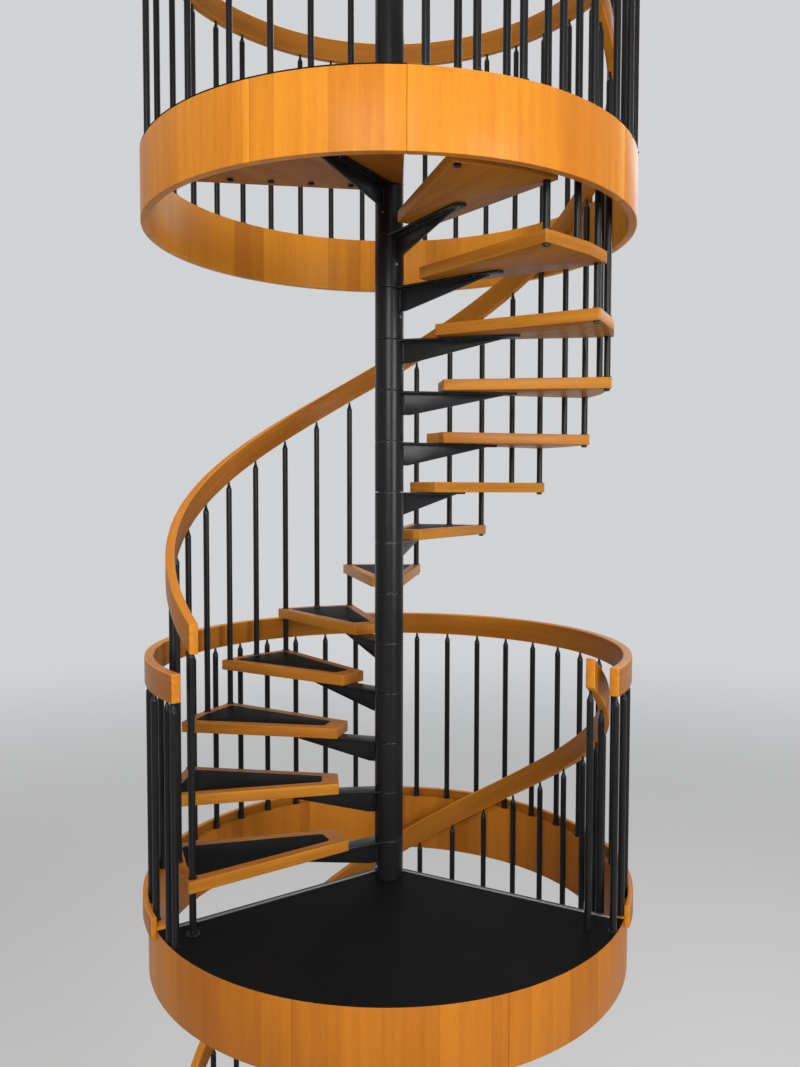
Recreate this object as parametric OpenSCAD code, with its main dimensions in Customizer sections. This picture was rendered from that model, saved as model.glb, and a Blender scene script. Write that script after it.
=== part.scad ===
// Spiral staircase of two storeys: black steel column, brackets and balusters,
// beech treads, handrails and opening linings. Millimetres, +Z up.
// The origin is the centre of the base flange's underside, on the lowest floor.
// Angles run anticlockwise from +X seen from above, and the stair climbs clockwise.

/* [Storeys] */
// Height from one floor to the next
storey = 2800; // [2400:10:3200]
// Risers in one storey
risers = 14; // [12:1:16]
// Angle from one tread to the next
tread_step = 22.4; // [18:0.1:26]

/* [Column] */
// Outer diameter of the stacked sleeves
sleeve_d = 114; // [100:1:140]
// Outer diameter of the inner post
post_d = 90; // [60:1:100]
// Wall thickness of the inner post
post_wall = 5; // [3:0.5:8]
// Open groove between two sleeves
sleeve_groove = 2; // [1:0.5:4]
// Height of the column's head above the guard rails
head_lift = 28; // [10:1:80]
// Height of the domed cap
cap_h = 22; // [10:1:40]

/* [Base] */
// Diameter of the base flange
flange_d = 300; // [220:5:400]
// Thickness of the base flange
flange_t = 15; // [8:1:25]
// Circle on which the base bolts stand
bolt_circle = 240; // [190:5:320]
// Number of base bolts
bolt_count = 6; // [4:1:8]
// Diameter of a bolt hole
bolt_hole_d = 14; // [10:0.5:18]
// Height of the collar round the post's foot
collar_h = 40; // [25:1:45]
// Thickness of a gusset between the collar and the flange
gusset_t = 8; // [5:1:12]

/* [Treads] */
// Thickness of a tread and of a landing board
tread_t = 43; // [36:1:60]
// Distance from the column's axis to a tread's inner end
tread_inner = 204; // [150:1:240]
// Inner end's half width on the nosing side
inner_front = 54; // [40:1:70]
// Inner end's half width on the back side
inner_back = 80; // [50:1:90]
// Wood beyond the front baluster's axis at the outer corner
front_margin = 27; // [20:1:40]
// Wood beyond the back baluster's axis at the outer corner
back_margin = 18; // [16:1:30]
// Wood beyond the balusters' line at the tread's outer middle
belly_margin = 22; // [16:1:30]
// Direction of the outer end's blunt corner from the tread's middle
belly_angle = -0.5; // [-3:0.1:2]
// Depth of the inlay's recess
inlay_t = 5; // [3:0.5:10]
// Width of the wood in front of and behind the inlay
inlay_edge = 40; // [30:1:60]
// Width of the wood at the inlay's inner end
inlay_inner_edge = 66; // [40:1:90]
// Corner radius of the inlay
inlay_r = 18; // [6:1:30]

/* [Brackets] */
// Reach of a tread arm from the column's axis
arm_reach = 520; // [420:5:600]
// Reach of the arm's web from the column's axis
web_reach = 470; // [380:5:560]
// Depth of the web at the sleeve
web_depth = 92; // [60:1:120]
// Length of the web's level underside beside the sleeve
web_flat = 26; // [0:1:60]
// Thickness of the web
web_t = 10; // [6:1:14]
// Thickness of the arm's top plate
plate_t = 8; // [5:1:12]
// Width of the top plate at its rounded tip
plate_tip_w = 56; // [40:1:72]
// Width of the top plate at the sleeve
plate_root_w = 74; // [58:1:84]
// Reach of a landing arm from the column's axis
landing_arm_reach = 700; // [560:5:800]
// Angle between two arms under the room landing
landing_arm_step = 39; // [30:1:45]
// Angle from the top landing's front edge to the arm under it
top_arm_turn = 30; // [15:1:60]

/* [Balusters] */
// Diameter of a baluster
baluster_d = 25; // [16:0.5:32]
// Radius on which the stair's balusters and handrail run
rail_r = 846; // [780:1:900]
// Angle of the front baluster ahead of a tread's middle
post_lead = 7.4; // [6:0.1:9]
// Diameter of the pin at a baluster's top and of the stud at its foot
pin_d = 10; // [6:0.5:14]
// Height of the cone under the pin
cone_h = 20; // [10:1:40]
// Length of the pin that shows under a rail
pin_h = 10; // [6:1:20]
// Diameter of the nut under a tread
nut_d = 26; // [20:1:32]
// Height of the nut under a tread
nut_h = 10; // [6:1:16]
// Depth of the dowel that holds a middle baluster in its tread
dowel_l = 30; // [15:1:34]

/* [Handrails] */
// Radial thickness of a handrail
rail_t = 34; // [26:1:50]
// Upright height of the stair's handrails
rail_h = 106; // [70:1:130]
// Rail's top above the line of nosings along the run
rail_run = 865; // [800:5:1000]
// Rise of the upper handrail's lower end above the run
upper_rail_lift = 50; // [0:5:150]
// Rise of the lower handrail's upper end above the run
lower_rail_lift = 85; // [0:5:150]
// Handrail beyond its first baluster
rail_overrun_low = 44; // [25:1:150]
// Handrail beyond its last baluster
rail_overrun_high = 20; // [15:1:150]
// Distance of the stair's handrails outside the balusters' line
rail_shift = 6; // [0:1:10]
// Chamfer on a handrail's edges
rail_chamfer = 4; // [1:0.5:8]

/* [Landings] */
// Direction of the upper flight's first tread
upper_start = 207.9; // [180:0.1:240]
// Angle from the first tread to the landing's edge beside it
start_lap = 6.1; // [0:0.1:12]
// Angle between the two edges of the room landing
room_sweep = 117; // [90:0.5:150]
// Angle from the room landing's edge to the last tread under it
end_lap = 11.4; // [4:0.1:20]
// Distance of the room landing's edges outside the radial lines
room_lip = 75; // [60:1:100]
// Angle from the last tread to the top landing's edge
top_gap = 29.1; // [20:0.1:36]
// Angle between the two edges of the top landing
top_sweep = 82.5; // [60:0.5:120]
// Distance of the top landing's edges outside the radial lines
top_lip = 50; // [40:1:100]
// Thickness of the black covering
cover_t = 4; // [2:0.5:8]
// Height and width of a landing's edge strip
nosing_w = 22; // [14:1:40]
// Thickness of a landing's edge strip
nosing_t = 2.5; // [1.5:0.5:5]

/* [Floor openings] */
// Distance from the handrail's line to the finished opening
opening_gap = 69; // [50:1:120]
// Thickness of the lining
fascia_t = 30; // [18:1:40]
// Height of the lining below the floor
fascia_h = 250; // [150:5:400]
// Number of a lining's panels under the landing
panels_under = 3; // [2:1:4]
// Number of a lining's panels round the open part
panels_open = 5; // [3:1:8]
// Open joint between two panels
fascia_joint = 1; // [0.5:0.5:3]
// Thickness of the upstand outside the lining
curb_t = 20; // [12:1:30]
// Height of the upstand above the floor
curb_h = 48; // [30:1:80]
// Depth of the upstand below the floor
curb_drop = 30; // [20:1:60]
// Height of the room lining's top above the floor, outside the landing
ledge_h = 12; // [0:1:20]

/* [Opening guards] */
// Height of the level guard rails above the floor
guard_h = 947; // [850:1:1100]
// Height of a level guard rail's band
guard_rail_h = 100; // [70:1:130]
// Length of the room's guard rail past the corner where the upper flight starts
guard_lap_start = 172; // [60:1:200]
// Length of the room's guard rail past the corner where the lower flight ends
guard_lap_end = 135; // [60:1:200]
// Distance between two guard balusters round an opening
guard_pitch = 155.7; // [100:0.1:200]
// Distance from the room guard's end to its first regular baluster
room_guard_first = 141; // [60:1:160]
// Distance from the top guard's end to its first regular baluster
top_guard_first = 55; // [20:1:160]
// Distance from a guard rail's end to the baluster under it
guard_end_inset = 25; // [15:1:40]
// Distance between two balusters of the straight end guard
end_guard_pitch = 155; // [100:1:200]
// Distance of the end guard's first baluster from the axis
end_guard_first = 152; // [120:1:200]

/* [Hidden] */
$fn = 64;
treads = risers - 1;
rise = storey / risers;
fit = 0.3;
top_floor = 2 * storey;
room_a0 = upper_start + start_lap;
room_a1 = room_a0 + room_sweep;
lower_end = room_a1 + end_lap;
lower_start = lower_end + (treads - 1) * tread_step;
upper_end = upper_start - (treads - 1) * tread_step;
top_a1 = upper_end - top_gap;
top_a0 = top_a1 - top_sweep;
opening_r = rail_r + opening_gap;
guard_shift = 2;
guard_r = opening_r + fascia_t / 2 + guard_shift;
sleeve_bore = post_d + 2 * fit;
head_h = guard_h + head_lift;
post_top = top_floor + head_h - cap_h;
foot_d = 2 * baluster_d;
foot_h = 6;
rail_stations = 72;

// Angle of the front baluster and of the shared back baluster, from a tread's middle
front_angle = post_lead;
back_angle = post_lead - tread_step;
mid_angle = (front_angle + back_angle) / 2;
// Angles of a tread's outer corners, from its middle
nosing_angle = front_angle + arc_angle(front_margin, rail_r);
heel_angle = back_angle - arc_angle(back_margin, rail_r);

BLACK_STEEL = [0.06, 0.06, 0.065];
BEECH = [0.75, 0.47, 0.2];
INLAY = [0.04, 0.04, 0.045];
STRIP = [0.55, 0.55, 0.56];

// Geometry helpers

function polar(r, a) = [r * cos(a), r * sin(a)];
function arc_angle(length, r) = length / r * 180 / PI;
function unit(v) = v / norm(v);
function left_of(v) = [-v.y, v.x];
function cross2(a, b) = a.x * b.y - a.y * b.x;

// Point where the line through p along u meets the line through q along v
function meet(p, u, q, v) = p + u * cross2(q - p, v) / cross2(u, v);

// An anticlockwise outline moved inwards, each side by its own margin
function inset(pts, margins) =
    let (n = len(pts), sides = [for (i = [0:n - 1]) unit(pts[(i + 1) % n] - pts[i])])
    [for (i = [0:n - 1])
        let (j = (i + n - 1) % n)
        meet(pts[i] + margins[j] * left_of(sides[j]), sides[j],
             pts[i] + margins[i] * left_of(sides[i]), sides[i])];

// Points of the arc that rounds corner p between its neighbours a and b
function corner_arc(a, p, b, r, steps) =
    let (u = unit(a - p), v = unit(b - p), half = acos(u * v) / 2)
    let (c = p + unit(u + v) * r / sin(half))
    let (s = p + u * r / tan(half) - c, e = p + v * r / tan(half) - c)
    let (a0 = atan2(s.y, s.x), turn = (atan2(e.y, e.x) - a0 + 540) % 360 - 180)
    [for (k = [0:steps]) c + polar(r, a0 + turn * k / steps)];

function rounded(pts, r, steps = 4) =
    let (n = len(pts))
    [for (i = [0:n - 1])
        each corner_arc(pts[(i + n - 1) % n], pts[i], pts[(i + 1) % n], r, steps)];

// Angles at which a landing's edges, moved out by lip, cross radius r
function corner0(a0, lip, r) = a0 - asin(lip / r);
function corner1(a1, lip, r) = a1 + asin(lip / r);

// Treads and their brackets

tread_outline = [
    [tread_inner, -inner_back],
    polar(rail_r + back_margin, heel_angle),
    polar(rail_r + belly_margin, belly_angle),
    polar(rail_r + front_margin, nosing_angle),
    [tread_inner, inner_front]
];
inlay_margins = [inlay_edge, inlay_edge, inlay_edge, inlay_edge, inlay_inner_edge];
recess_corners = inset(tread_outline, inlay_margins);
inlay_corners = inset(recess_corners, [for (margin = inlay_margins) fit]);

// Carries its children to tread n of the flight that starts on floor base
module at_tread(base, start, n) {
    translate([0, 0, base + n * rise - tread_t])
        rotate(start - (n - 1) * tread_step)
            children();
}

module tread() {
    color(BEECH) difference() {
        linear_extrude(tread_t) polygon(tread_outline);
        translate([0, 0, tread_t - inlay_t]) linear_extrude(inlay_t + 1)
            polygon(rounded(recess_corners, inlay_r));
        rotate(front_angle) translate([rail_r, 0, -1])
            cylinder(d = baluster_d + 2 * fit, h = tread_t + 2);
        rotate(back_angle) translate([rail_r, 0, -1])
            cylinder(d = pin_d + 2 * fit, h = tread_t + 2);
        rotate(mid_angle) translate([rail_r, 0, tread_t - dowel_l - fit])
            cylinder(d = pin_d + 2 * fit, h = dowel_l + 2);
    }
}

module inlay() {
    color(INLAY) translate([0, 0, tread_t - inlay_t])
        linear_extrude(inlay_t) polygon(rounded(inlay_corners, inlay_r - fit));
}

// Sleeve from z = -height up to z = 0
module sleeve(height) {
    translate([0, 0, -height]) difference() {
        cylinder(d = sleeve_d, h = height);
        translate([0, 0, -1]) cylinder(d = sleeve_bore, h = height + 2);
    }
}

// Top plate of an arm, seen from above, from the axis outwards
module arm_outline(reach) {
    tip = reach - plate_tip_w / 2;
    polygon([
        [0, -plate_root_w / 2],
        [tip, -plate_tip_w / 2],
        [tip, plate_tip_w / 2],
        [0, plate_root_w / 2]
    ]);
    translate([tip, 0]) circle(d = plate_tip_w);
}

// Upright web under an arm's plate, whose top is at z = 0
module arm_web(web_end) {
    rotate([90, 0, 0]) translate([0, 0, -web_t / 2]) linear_extrude(web_t)
        polygon([
            [0, -plate_t / 2],
            [0, -web_depth],
            [sleeve_d / 2 + web_flat, -web_depth],
            [web_end, -plate_t],
            [web_end, -plate_t / 2]
        ]);
}

// Sleeve with arms at the given angles, its top at z = 0
module bracket(height, reach = arm_reach, web_end = web_reach, angles = [0]) {
    color(BLACK_STEEL) difference() {
        union() {
            translate([0, 0, -height]) cylinder(d = sleeve_d, h = height);
            translate([0, 0, -plate_t]) linear_extrude(plate_t)
                for (a = angles) rotate(a) arm_outline(reach);
            for (a = angles) rotate(a) arm_web(web_end);
        }
        translate([0, 0, -height - 1]) cylinder(d = sleeve_bore, h = height + 2);
    }
}

module lower_brackets() {
    at_tread(0, lower_start, 1)
        bracket(rise - tread_t - flange_t - collar_h - sleeve_groove);
    for (n = [2:treads]) at_tread(0, lower_start, n) bracket(rise - sleeve_groove);
}

module upper_brackets() {
    for (n = [1:treads]) at_tread(storey, upper_start, n) bracket(rise - sleeve_groove);
}

// Sleeve under a landing, its arms at the given angles from the direction turn
module landing_bracket(floor_z, turn, angles) {
    translate([0, 0, floor_z - tread_t]) rotate(turn)
        bracket(rise - sleeve_groove, landing_arm_reach,
            landing_arm_reach - arm_reach + web_reach, angles);
}

module room_landing_bracket() {
    middle = (room_a0 + room_a1) / 2;
    landing_bracket(storey, middle, [-landing_arm_step, 0, landing_arm_step]);
}

module top_landing_bracket() {
    landing_bracket(top_floor, top_a1 - top_arm_turn, [0]);
}

module lower_treads() {
    for (n = [1:treads]) at_tread(0, lower_start, n) tread();
}

module upper_tread(n) {
    at_tread(storey, upper_start, n) tread();
}

module inlays(base, start) {
    for (n = [1:treads]) at_tread(base, start, n) inlay();
}

// Column

module base_flange() {
    color(BLACK_STEEL) difference() {
        union() {
            cylinder(d = flange_d, h = flange_t);
            translate([0, 0, flange_t]) cylinder(d = sleeve_d, h = collar_h);
            for (i = [0:bolt_count - 1]) rotate((i + 0.5) * 360 / bolt_count) gusset();
        }
        translate([0, 0, flange_t]) cylinder(d = sleeve_bore, h = collar_h + 1);
        for (i = [0:bolt_count - 1]) rotate(i * 360 / bolt_count)
            translate([bolt_circle / 2, 0, -1]) cylinder(d = bolt_hole_d, h = flange_t + 2);
    }
}

// Brace between the collar and the flange
module gusset() {
    sink = 2;
    outer = flange_d / 2 - 10;
    toe_h = 6;
    head_w = 12;
    rotate([90, 0, 0]) translate([0, 0, -gusset_t / 2]) linear_extrude(gusset_t)
        polygon([
            [sleeve_d / 2 - sink, flange_t - sink],
            [outer, flange_t - sink],
            [outer, flange_t + toe_h],
            [sleeve_d / 2 + head_w, flange_t + collar_h - toe_h],
            [sleeve_d / 2 - sink, flange_t + collar_h - toe_h]
        ]);
}

module centre_post() {
    height = post_top - flange_t;
    color(BLACK_STEEL) translate([0, 0, flange_t]) difference() {
        cylinder(d = post_d, h = height);
        translate([0, 0, -1]) cylinder(d = post_d - 2 * post_wall, h = height + 2);
    }
}

module head_sleeve() {
    color(BLACK_STEEL) translate([0, 0, post_top]) sleeve(head_h - cap_h + tread_t - sleeve_groove);
}

module head_cap() {
    edge = 6;
    color(BLACK_STEEL) translate([0, 0, post_top]) rotate_extrude()
        polygon(concat(
            [[0, 0], [sleeve_d / 2, 0], [sleeve_d / 2, edge]],
            [for (k = [1:8]) [sleeve_d / 2 * cos(k * 90 / 8), edge + (cap_h - edge) * sin(k * 90 / 8)]]
        ));
}

// Handrails that follow the helix

// Rail of one flight: from angle a0 down to a1, its ends lifted above the run
function rail_top(base, start, a, a0, a1, lift0, lift1) =
    let (t = (a0 - a) / (a0 - a1))
    base + rise * (1 + (start + nosing_angle - a) / tread_step)
        + rail_run + lift0 * pow(1 - t, 2) + lift1 * pow(t, 2);

function rail_a0(start) = start + front_angle + arc_angle(rail_overrun_low, rail_r);
function rail_a1(start) =
    start - (treads - 1) * tread_step + back_angle - arc_angle(rail_overrun_high, rail_r);

function rail_section() =
    let (x = rail_t / 2, c = rail_chamfer)
    [[-x, -c], [-x + c, 0], [x - c, 0], [x, -c],
     [x, c - rail_h], [x - c, -rail_h], [-x + c, -rail_h], [-x, c - rail_h]];

module helical_rail(base, start, lift0, lift1) {
    a0 = rail_a0(start);
    a1 = rail_a1(start);
    section = rail_section();
    m = len(section);
    r = rail_r + rail_shift;
    points = [
        for (i = [0:rail_stations])
            let (a = a0 + (a1 - a0) * i / rail_stations)
            let (z = rail_top(base, start, a, a0, a1, lift0, lift1))
            for (p = section) [(r + p.x) * cos(a), (r + p.x) * sin(a), z + p.y]
    ];
    sides = [
        for (i = [0:rail_stations - 1])
            for (j = [0:m - 1])
                let (k = (j + 1) % m)
                each [
                    [i * m + j, i * m + k, (i + 1) * m + k],
                    [i * m + j, (i + 1) * m + k, (i + 1) * m + j]
                ]
    ];
    first = [[for (j = [m - 1:-1:0]) j]];
    last = [[for (j = [0:m - 1]) rail_stations * m + j]];
    color(BEECH) polyhedron(points, concat(sides, first, last));
}

// Balusters

// Outlines of what is below a baluster's lower end at z
function no_foot(z) = [[0, z]];
function foot_disc(z) =
    [[0, z], [foot_d / 2, z], [foot_d / 2, z + foot_h], [baluster_d / 2, z + foot_h]];
function dowel(z) = [[0, z - dowel_l], [pin_d / 2, z - dowel_l], [pin_d / 2, z]];
function stud_and_nut(z) =
    let (under = z - tread_t)
    [[0, under - nut_h], [nut_d / 2, under - nut_h], [nut_d / 2, under], [pin_d / 2, under],
     [pin_d / 2, z]];

// Baluster at angle a on radius r, standing at z0 on its foot, its pin ending at z1
module baluster(r, a, z0, z1, foot) {
    shaft = [
        [baluster_d / 2, z0],
        [baluster_d / 2, z1 - pin_h - cone_h],
        [pin_d / 2, z1 - pin_h],
        [pin_d / 2, z1],
        [0, z1]
    ];
    rotate(a) translate([r, 0, 0]) rotate_extrude()
        polygon(concat(foot, foot == foot_disc(z0) ? [for (i = [1:4]) shaft[i]] : shaft));
}

module flight_balusters(base, start, lift0, lift1) {
    a0 = rail_a0(start);
    a1 = rail_a1(start);
    slope_drop = pin_d * rise / (2 * rail_r * tread_step * PI / 180) + fit;
    heel = start - (treads - 1) * tread_step + back_angle;
    heel_z = base + treads * rise;
    color(BLACK_STEEL) {
        for (n = [1:treads]) {
            front = start - (n - 1) * tread_step + front_angle;
            middle = start - (n - 1) * tread_step + mid_angle;
            below = base + (n - 1) * rise;
            baluster(rail_r, front, below,
                rail_top(base, start, front, a0, a1, lift0, lift1) - rail_h - slope_drop,
                n == 1 ? foot_disc(below) : stud_and_nut(below));
            baluster(rail_r, middle, below + rise,
                rail_top(base, start, middle, a0, a1, lift0, lift1) - rail_h - slope_drop,
                dowel(below + rise));
        }
        baluster(rail_r, heel, heel_z,
            rail_top(base, start, heel, a0, a1, lift0, lift1) - rail_h - slope_drop,
            stud_and_nut(heel_z));
    }
}

// Landings

// Sector from a0 to a1 with straight edges moved out by lip, round the column
module sector(r, a0, a1, lip, height) {
    p0 = polar(lip, a0 - 90);
    p1 = polar(lip, a1 + 90);
    apex = polar(-lip / sin((a1 - a0) / 2), (a0 + a1) / 2);
    reach = 3 * r;
    difference() {
        intersection() {
            cylinder(r = r, h = height, $fn = 180);
            translate([0, 0, -1]) linear_extrude(height + 2)
                polygon(concat(
                    lip > sleeve_d / 2 + nosing_w / 2 ? [apex] : [p1, p0],
                    [p0 + polar(reach, a0), p1 + polar(reach, a1)]
                ));
        }
        translate([0, 0, -1]) cylinder(d = sleeve_d + 2 * fit, h = height + 2);
    }
}

module deck(floor_z, a0, a1, lip) {
    translate([0, 0, floor_z - tread_t])
        sector(opening_r - fit, a0, a1, lip, tread_t - cover_t);
}

module cover(floor_z, a0, a1, lip) {
    translate([0, 0, floor_z - cover_t])
        sector(opening_r + fascia_t, a0, a1, lip, cover_t);
}

// Hole through the room landing for the lower flight's last baluster
module last_baluster_hole() {
    rotate(lower_end + back_angle) translate([rail_r, 0, storey - tread_t - 1])
        cylinder(d = baluster_d + 2 * fit, h = tread_t + 2);
}

module room_deck() {
    color(BEECH) difference() {
        deck(storey, room_a0, room_a1, room_lip);
        last_baluster_hole();
    }
}

module room_cover() {
    color(INLAY) difference() {
        cover(storey, room_a0, room_a1, room_lip);
        last_baluster_hole();
    }
}

// Angle strip along an edge at angle a, moved out by lip; side is +1 or -1
module edge_strip(floor_z, a, lip, side) {
    clear_r = sleeve_d / 2 + nosing_t;
    start = sqrt(max(0, pow(clear_r, 2) - pow(lip - nosing_w, 2)));
    end = sqrt(pow(opening_r, 2) - pow(lip + nosing_t, 2)) - nosing_t;
    color(STRIP) rotate(a) translate([start, side * lip, floor_z]) {
        translate([0, side > 0 ? 0 : -nosing_t, -nosing_w])
            cube([end - start, nosing_t, nosing_w + nosing_t]);
        translate([0, side > 0 ? -nosing_w : 0, 0]) cube([end - start, nosing_w, nosing_t]);
    }
}

// Linings, upstands and guards of the floor openings

module band(r, t, z, h, a0, a1) {
    translate([0, 0, z]) rotate(a0) rotate_extrude(angle = a1 - a0, $fn = 180)
        translate([r, 0]) square([t, h]);
}

module rail_band(z, a0, a1) {
    c = rail_chamfer;
    translate([0, 0, z - guard_rail_h]) rotate(a0) rotate_extrude(angle = a1 - a0, $fn = 180)
        translate([guard_r - rail_t / 2, 0])
            polygon([
                [c, 0], [rail_t - c, 0], [rail_t, c], [rail_t, guard_rail_h - c],
                [rail_t - c, guard_rail_h], [c, guard_rail_h], [0, guard_rail_h - c], [0, c]
            ]);
}

// Panels from a0 to a1, whose top is at z and whose foot lies fascia_h below the floor
module panels(floor_z, z, a0, a1, count) {
    panel = (a1 - a0) / count;
    joint = arc_angle(fascia_joint, opening_r) / 2;
    for (i = [0:count - 1])
        band(opening_r, fascia_t, floor_z - fascia_h, fascia_h + z,
            a0 + i * panel + joint, a0 + (i + 1) * panel - joint);
}

// Lining that carries a landing from a0 to a1; elsewhere its top is at ledge
module fascia(floor_z, a0, a1, lip, ledge) {
    c0 = corner0(a0, lip, opening_r + fascia_t);
    c1 = corner1(a1, lip, opening_r + fascia_t);
    color(BEECH) {
        panels(floor_z, -cover_t, c0, c1, panels_under);
        panels(floor_z, ledge, c1, c0 + 360, panels_open);
    }
}

module room_curb() {
    inner = opening_r + fascia_t + fit;
    color(BEECH) band(inner, curb_t, storey - curb_drop, curb_drop + curb_h,
        corner1(room_a1, room_lip, inner), corner0(room_a0, room_lip, inner) + 360);
}

function guard_a0(a1, lip, lap) = corner1(a1, lip, guard_r) - arc_angle(lap, guard_r);
function guard_a1(a0, lip, lap) = corner0(a0, lip, guard_r) + 360 + arc_angle(lap, guard_r);

module guard_rail(floor_z, g0, g1) {
    color(BEECH) rail_band(floor_z + guard_h, g0, g1);
}

// Angles of the regular balusters between the ends g0 and g1 of a guard rail
function regular_angles(g0, g1, first) =
    [for (a = [g0 + arc_angle(first, guard_r):arc_angle(guard_pitch, guard_r):
        g1 - arc_angle(guard_end_inset + 1.5 * baluster_d, guard_r)]) a];

// Balusters at the given angles; those over the landing's covering stand on it
module guard_balusters(floor_z, angles, a0, a1, lip, ledge) {
    open0 = corner1(a1, lip, guard_r);
    open1 = corner0(a0, lip, guard_r) + 360;
    margin = sign(ledge) * arc_angle(baluster_d / 2 + fit, guard_r);
    color(BLACK_STEEL) for (a = angles) {
        z = floor_z + (a > open0 - margin && a < open1 + margin ? ledge : 0);
        baluster(guard_r, a, z, floor_z + guard_h - guard_rail_h, no_foot(z));
    }
}

room_g0 = guard_a0(room_a1, room_lip, guard_lap_end);
room_g1 = guard_a1(room_a0, room_lip, guard_lap_start);
top_g0 = guard_a0(top_a1, top_lip, 0);
top_g1 = top_a0 + 360 + arc_angle(rail_t, guard_r);
end_inset = arc_angle(guard_end_inset, guard_r);
room_guard_angles = concat(
    [room_g0 + end_inset],
    regular_angles(room_g0, room_g1, room_guard_first),
    [room_g1 - end_inset]
);
top_guard_angles = regular_angles(top_g0, top_g1, top_guard_first);

module room_nosings() {
    edge_strip(storey, room_a0, room_lip, -1);
    edge_strip(storey, room_a1, room_lip, 1);
}

module top_nosing() {
    edge_strip(top_floor, top_a1, top_lip, 1);
}

// Straight guard from the column's head to the level guard rail
module end_guard_rail() {
    inner = sleeve_d / 2 + fit;
    outer = guard_r - rail_t / 2 - fit;
    c = rail_chamfer;
    color(BEECH) rotate(top_a0) translate([inner, 0, top_floor + guard_h])
        rotate([90, 0, 90]) linear_extrude(outer - inner)
            polygon([for (p = rail_section()) [p.x, p.y < -rail_h / 2 ? p.y + rail_h - guard_rail_h : p.y]]);
}

module end_guard_balusters() {
    color(BLACK_STEEL) for (r = [end_guard_first:end_guard_pitch:guard_r - end_guard_pitch / 2])
        baluster(r, top_a0, top_floor, top_floor + guard_h - guard_rail_h, stud_and_nut(top_floor));
}

base_flange();
centre_post();
lower_brackets();
upper_brackets();
room_landing_bracket();
top_landing_bracket();
head_sleeve();
head_cap();
lower_treads();
for (n = [1:treads]) upper_tread(n);
inlays(0, lower_start);  // lower_inlays
inlays(storey, upper_start);  // upper_inlays
flight_balusters(0, lower_start, 0, lower_rail_lift);  // lower_balusters
flight_balusters(storey, upper_start, upper_rail_lift, 0);  // upper_balusters
helical_rail(0, lower_start, 0, lower_rail_lift);  // lower_handrail
helical_rail(storey, upper_start, upper_rail_lift, 0);  // upper_handrail
room_deck();
color(BEECH) deck(top_floor, top_a0, top_a1, top_lip);  // top_deck
room_cover();
color(INLAY) cover(top_floor, top_a0, top_a1, top_lip);  // top_cover
room_nosings();
top_nosing();
fascia(storey, room_a0, room_a1, room_lip, ledge_h);  // room_fascia
fascia(top_floor, top_a0, top_a1, top_lip, -cover_t);  // top_fascia
room_curb();
guard_rail(storey, room_g0, room_g1);  // room_guard_rail
guard_rail(top_floor, top_g0, top_g1);  // top_guard_rail
guard_balusters(storey, room_guard_angles, room_a0, room_a1, room_lip, ledge_h);  // room_guard_balusters
guard_balusters(top_floor, top_guard_angles, top_a0, top_a1, top_lip, -cover_t);  // top_guard_balusters
end_guard_rail();
end_guard_balusters();
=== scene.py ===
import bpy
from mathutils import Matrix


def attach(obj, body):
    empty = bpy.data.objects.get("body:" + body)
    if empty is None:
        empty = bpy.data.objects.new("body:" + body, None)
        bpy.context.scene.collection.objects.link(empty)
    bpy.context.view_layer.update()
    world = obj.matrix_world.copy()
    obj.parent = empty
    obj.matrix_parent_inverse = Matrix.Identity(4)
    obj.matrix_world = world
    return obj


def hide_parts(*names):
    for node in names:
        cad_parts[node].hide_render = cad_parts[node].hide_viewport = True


bl_info = {
    "name": "Spiral Staircase",
    "version": (1, 0, 0),
    "blender": (4, 5, 0),
    "location": "3D View > Sidebar > Staircase",
    "description": "Dresses the two-storey spiral staircase in beech, black steel and its fasteners",
    "category": "Object",
}

from math import asin, cos, pi, radians, sin, sqrt

import bmesh
import bpy
import numpy as np
from bpy.props import FloatProperty, FloatVectorProperty, IntProperty, PointerProperty
from mathutils import Matrix

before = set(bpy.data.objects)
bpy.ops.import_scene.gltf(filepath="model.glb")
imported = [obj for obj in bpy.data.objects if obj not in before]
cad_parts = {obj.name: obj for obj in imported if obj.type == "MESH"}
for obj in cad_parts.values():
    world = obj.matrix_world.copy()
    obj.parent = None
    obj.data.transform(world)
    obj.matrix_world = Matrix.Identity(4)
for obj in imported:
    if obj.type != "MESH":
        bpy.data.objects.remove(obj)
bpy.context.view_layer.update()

MAP = "grain"  # the wood's map: metres along the grain, metres across it
WEAR = "wear"  # 1 on an edge that hands and shoes rub, 0 elsewhere
LAYER = "layer"  # metres across the laminations of a bent piece
FLOORS = (0.0, 2.8, 5.6)  # heights of the ground, the room's floor and the top floor
FIT = 0.0003  # clearance between two pieces that fit together
GRAIN_SHIFT = (0.37, 0.23)  # metres that the wood map moves from one copy to the next
PANEL_SHIFT = (0.71, 0.37)  # the same from one panel of a lining to the next
SENSOR = 36  # long side of the camera's sensor in millimetres
UP = (0.0, 0.0, 1.0)
UPRIGHT = ((1, 0, 0), (0, 0, 1), (0, 1, 0))  # stands a flat shape up in the XZ plane
SIDEWAYS = ((0, 0, 1), (1, 0, 0), (0, 1, 0))  # turns +Z to +X

# Fasteners: thickness and diameter of each, or height and width of a hexagon
FOOT_WASHER = (0.0030, 0.034)
FIRST_FOOT = (0.0060, 0.050)
COLLAR_RING = (0.0024, 0.034)
WASHER = (0.0022, 0.0256)
NUT = (0.0067, 0.021)
STUD = (0.0022, 0.011)
BASE_WASHER = (0.0025, 0.024)
BASE_NUT = (0.0100, 0.019)
BASE_STUD = (0.0055, 0.0115)
BASE_SHANK = (0.0140, 0.0125)
SLIT = 0.0001  # hairline between a washer and its nut
ARM_SCREW, STRIP_SCREW = 0.010, 0.006  # diameters


# Sizes and colours


def maker(kind, **facts):
    """A function that makes properties of one kind from a name, a description and a default."""

    def make(name, description, default):
        return kind(name=name, description=description, default=default, **facts)

    return make


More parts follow.
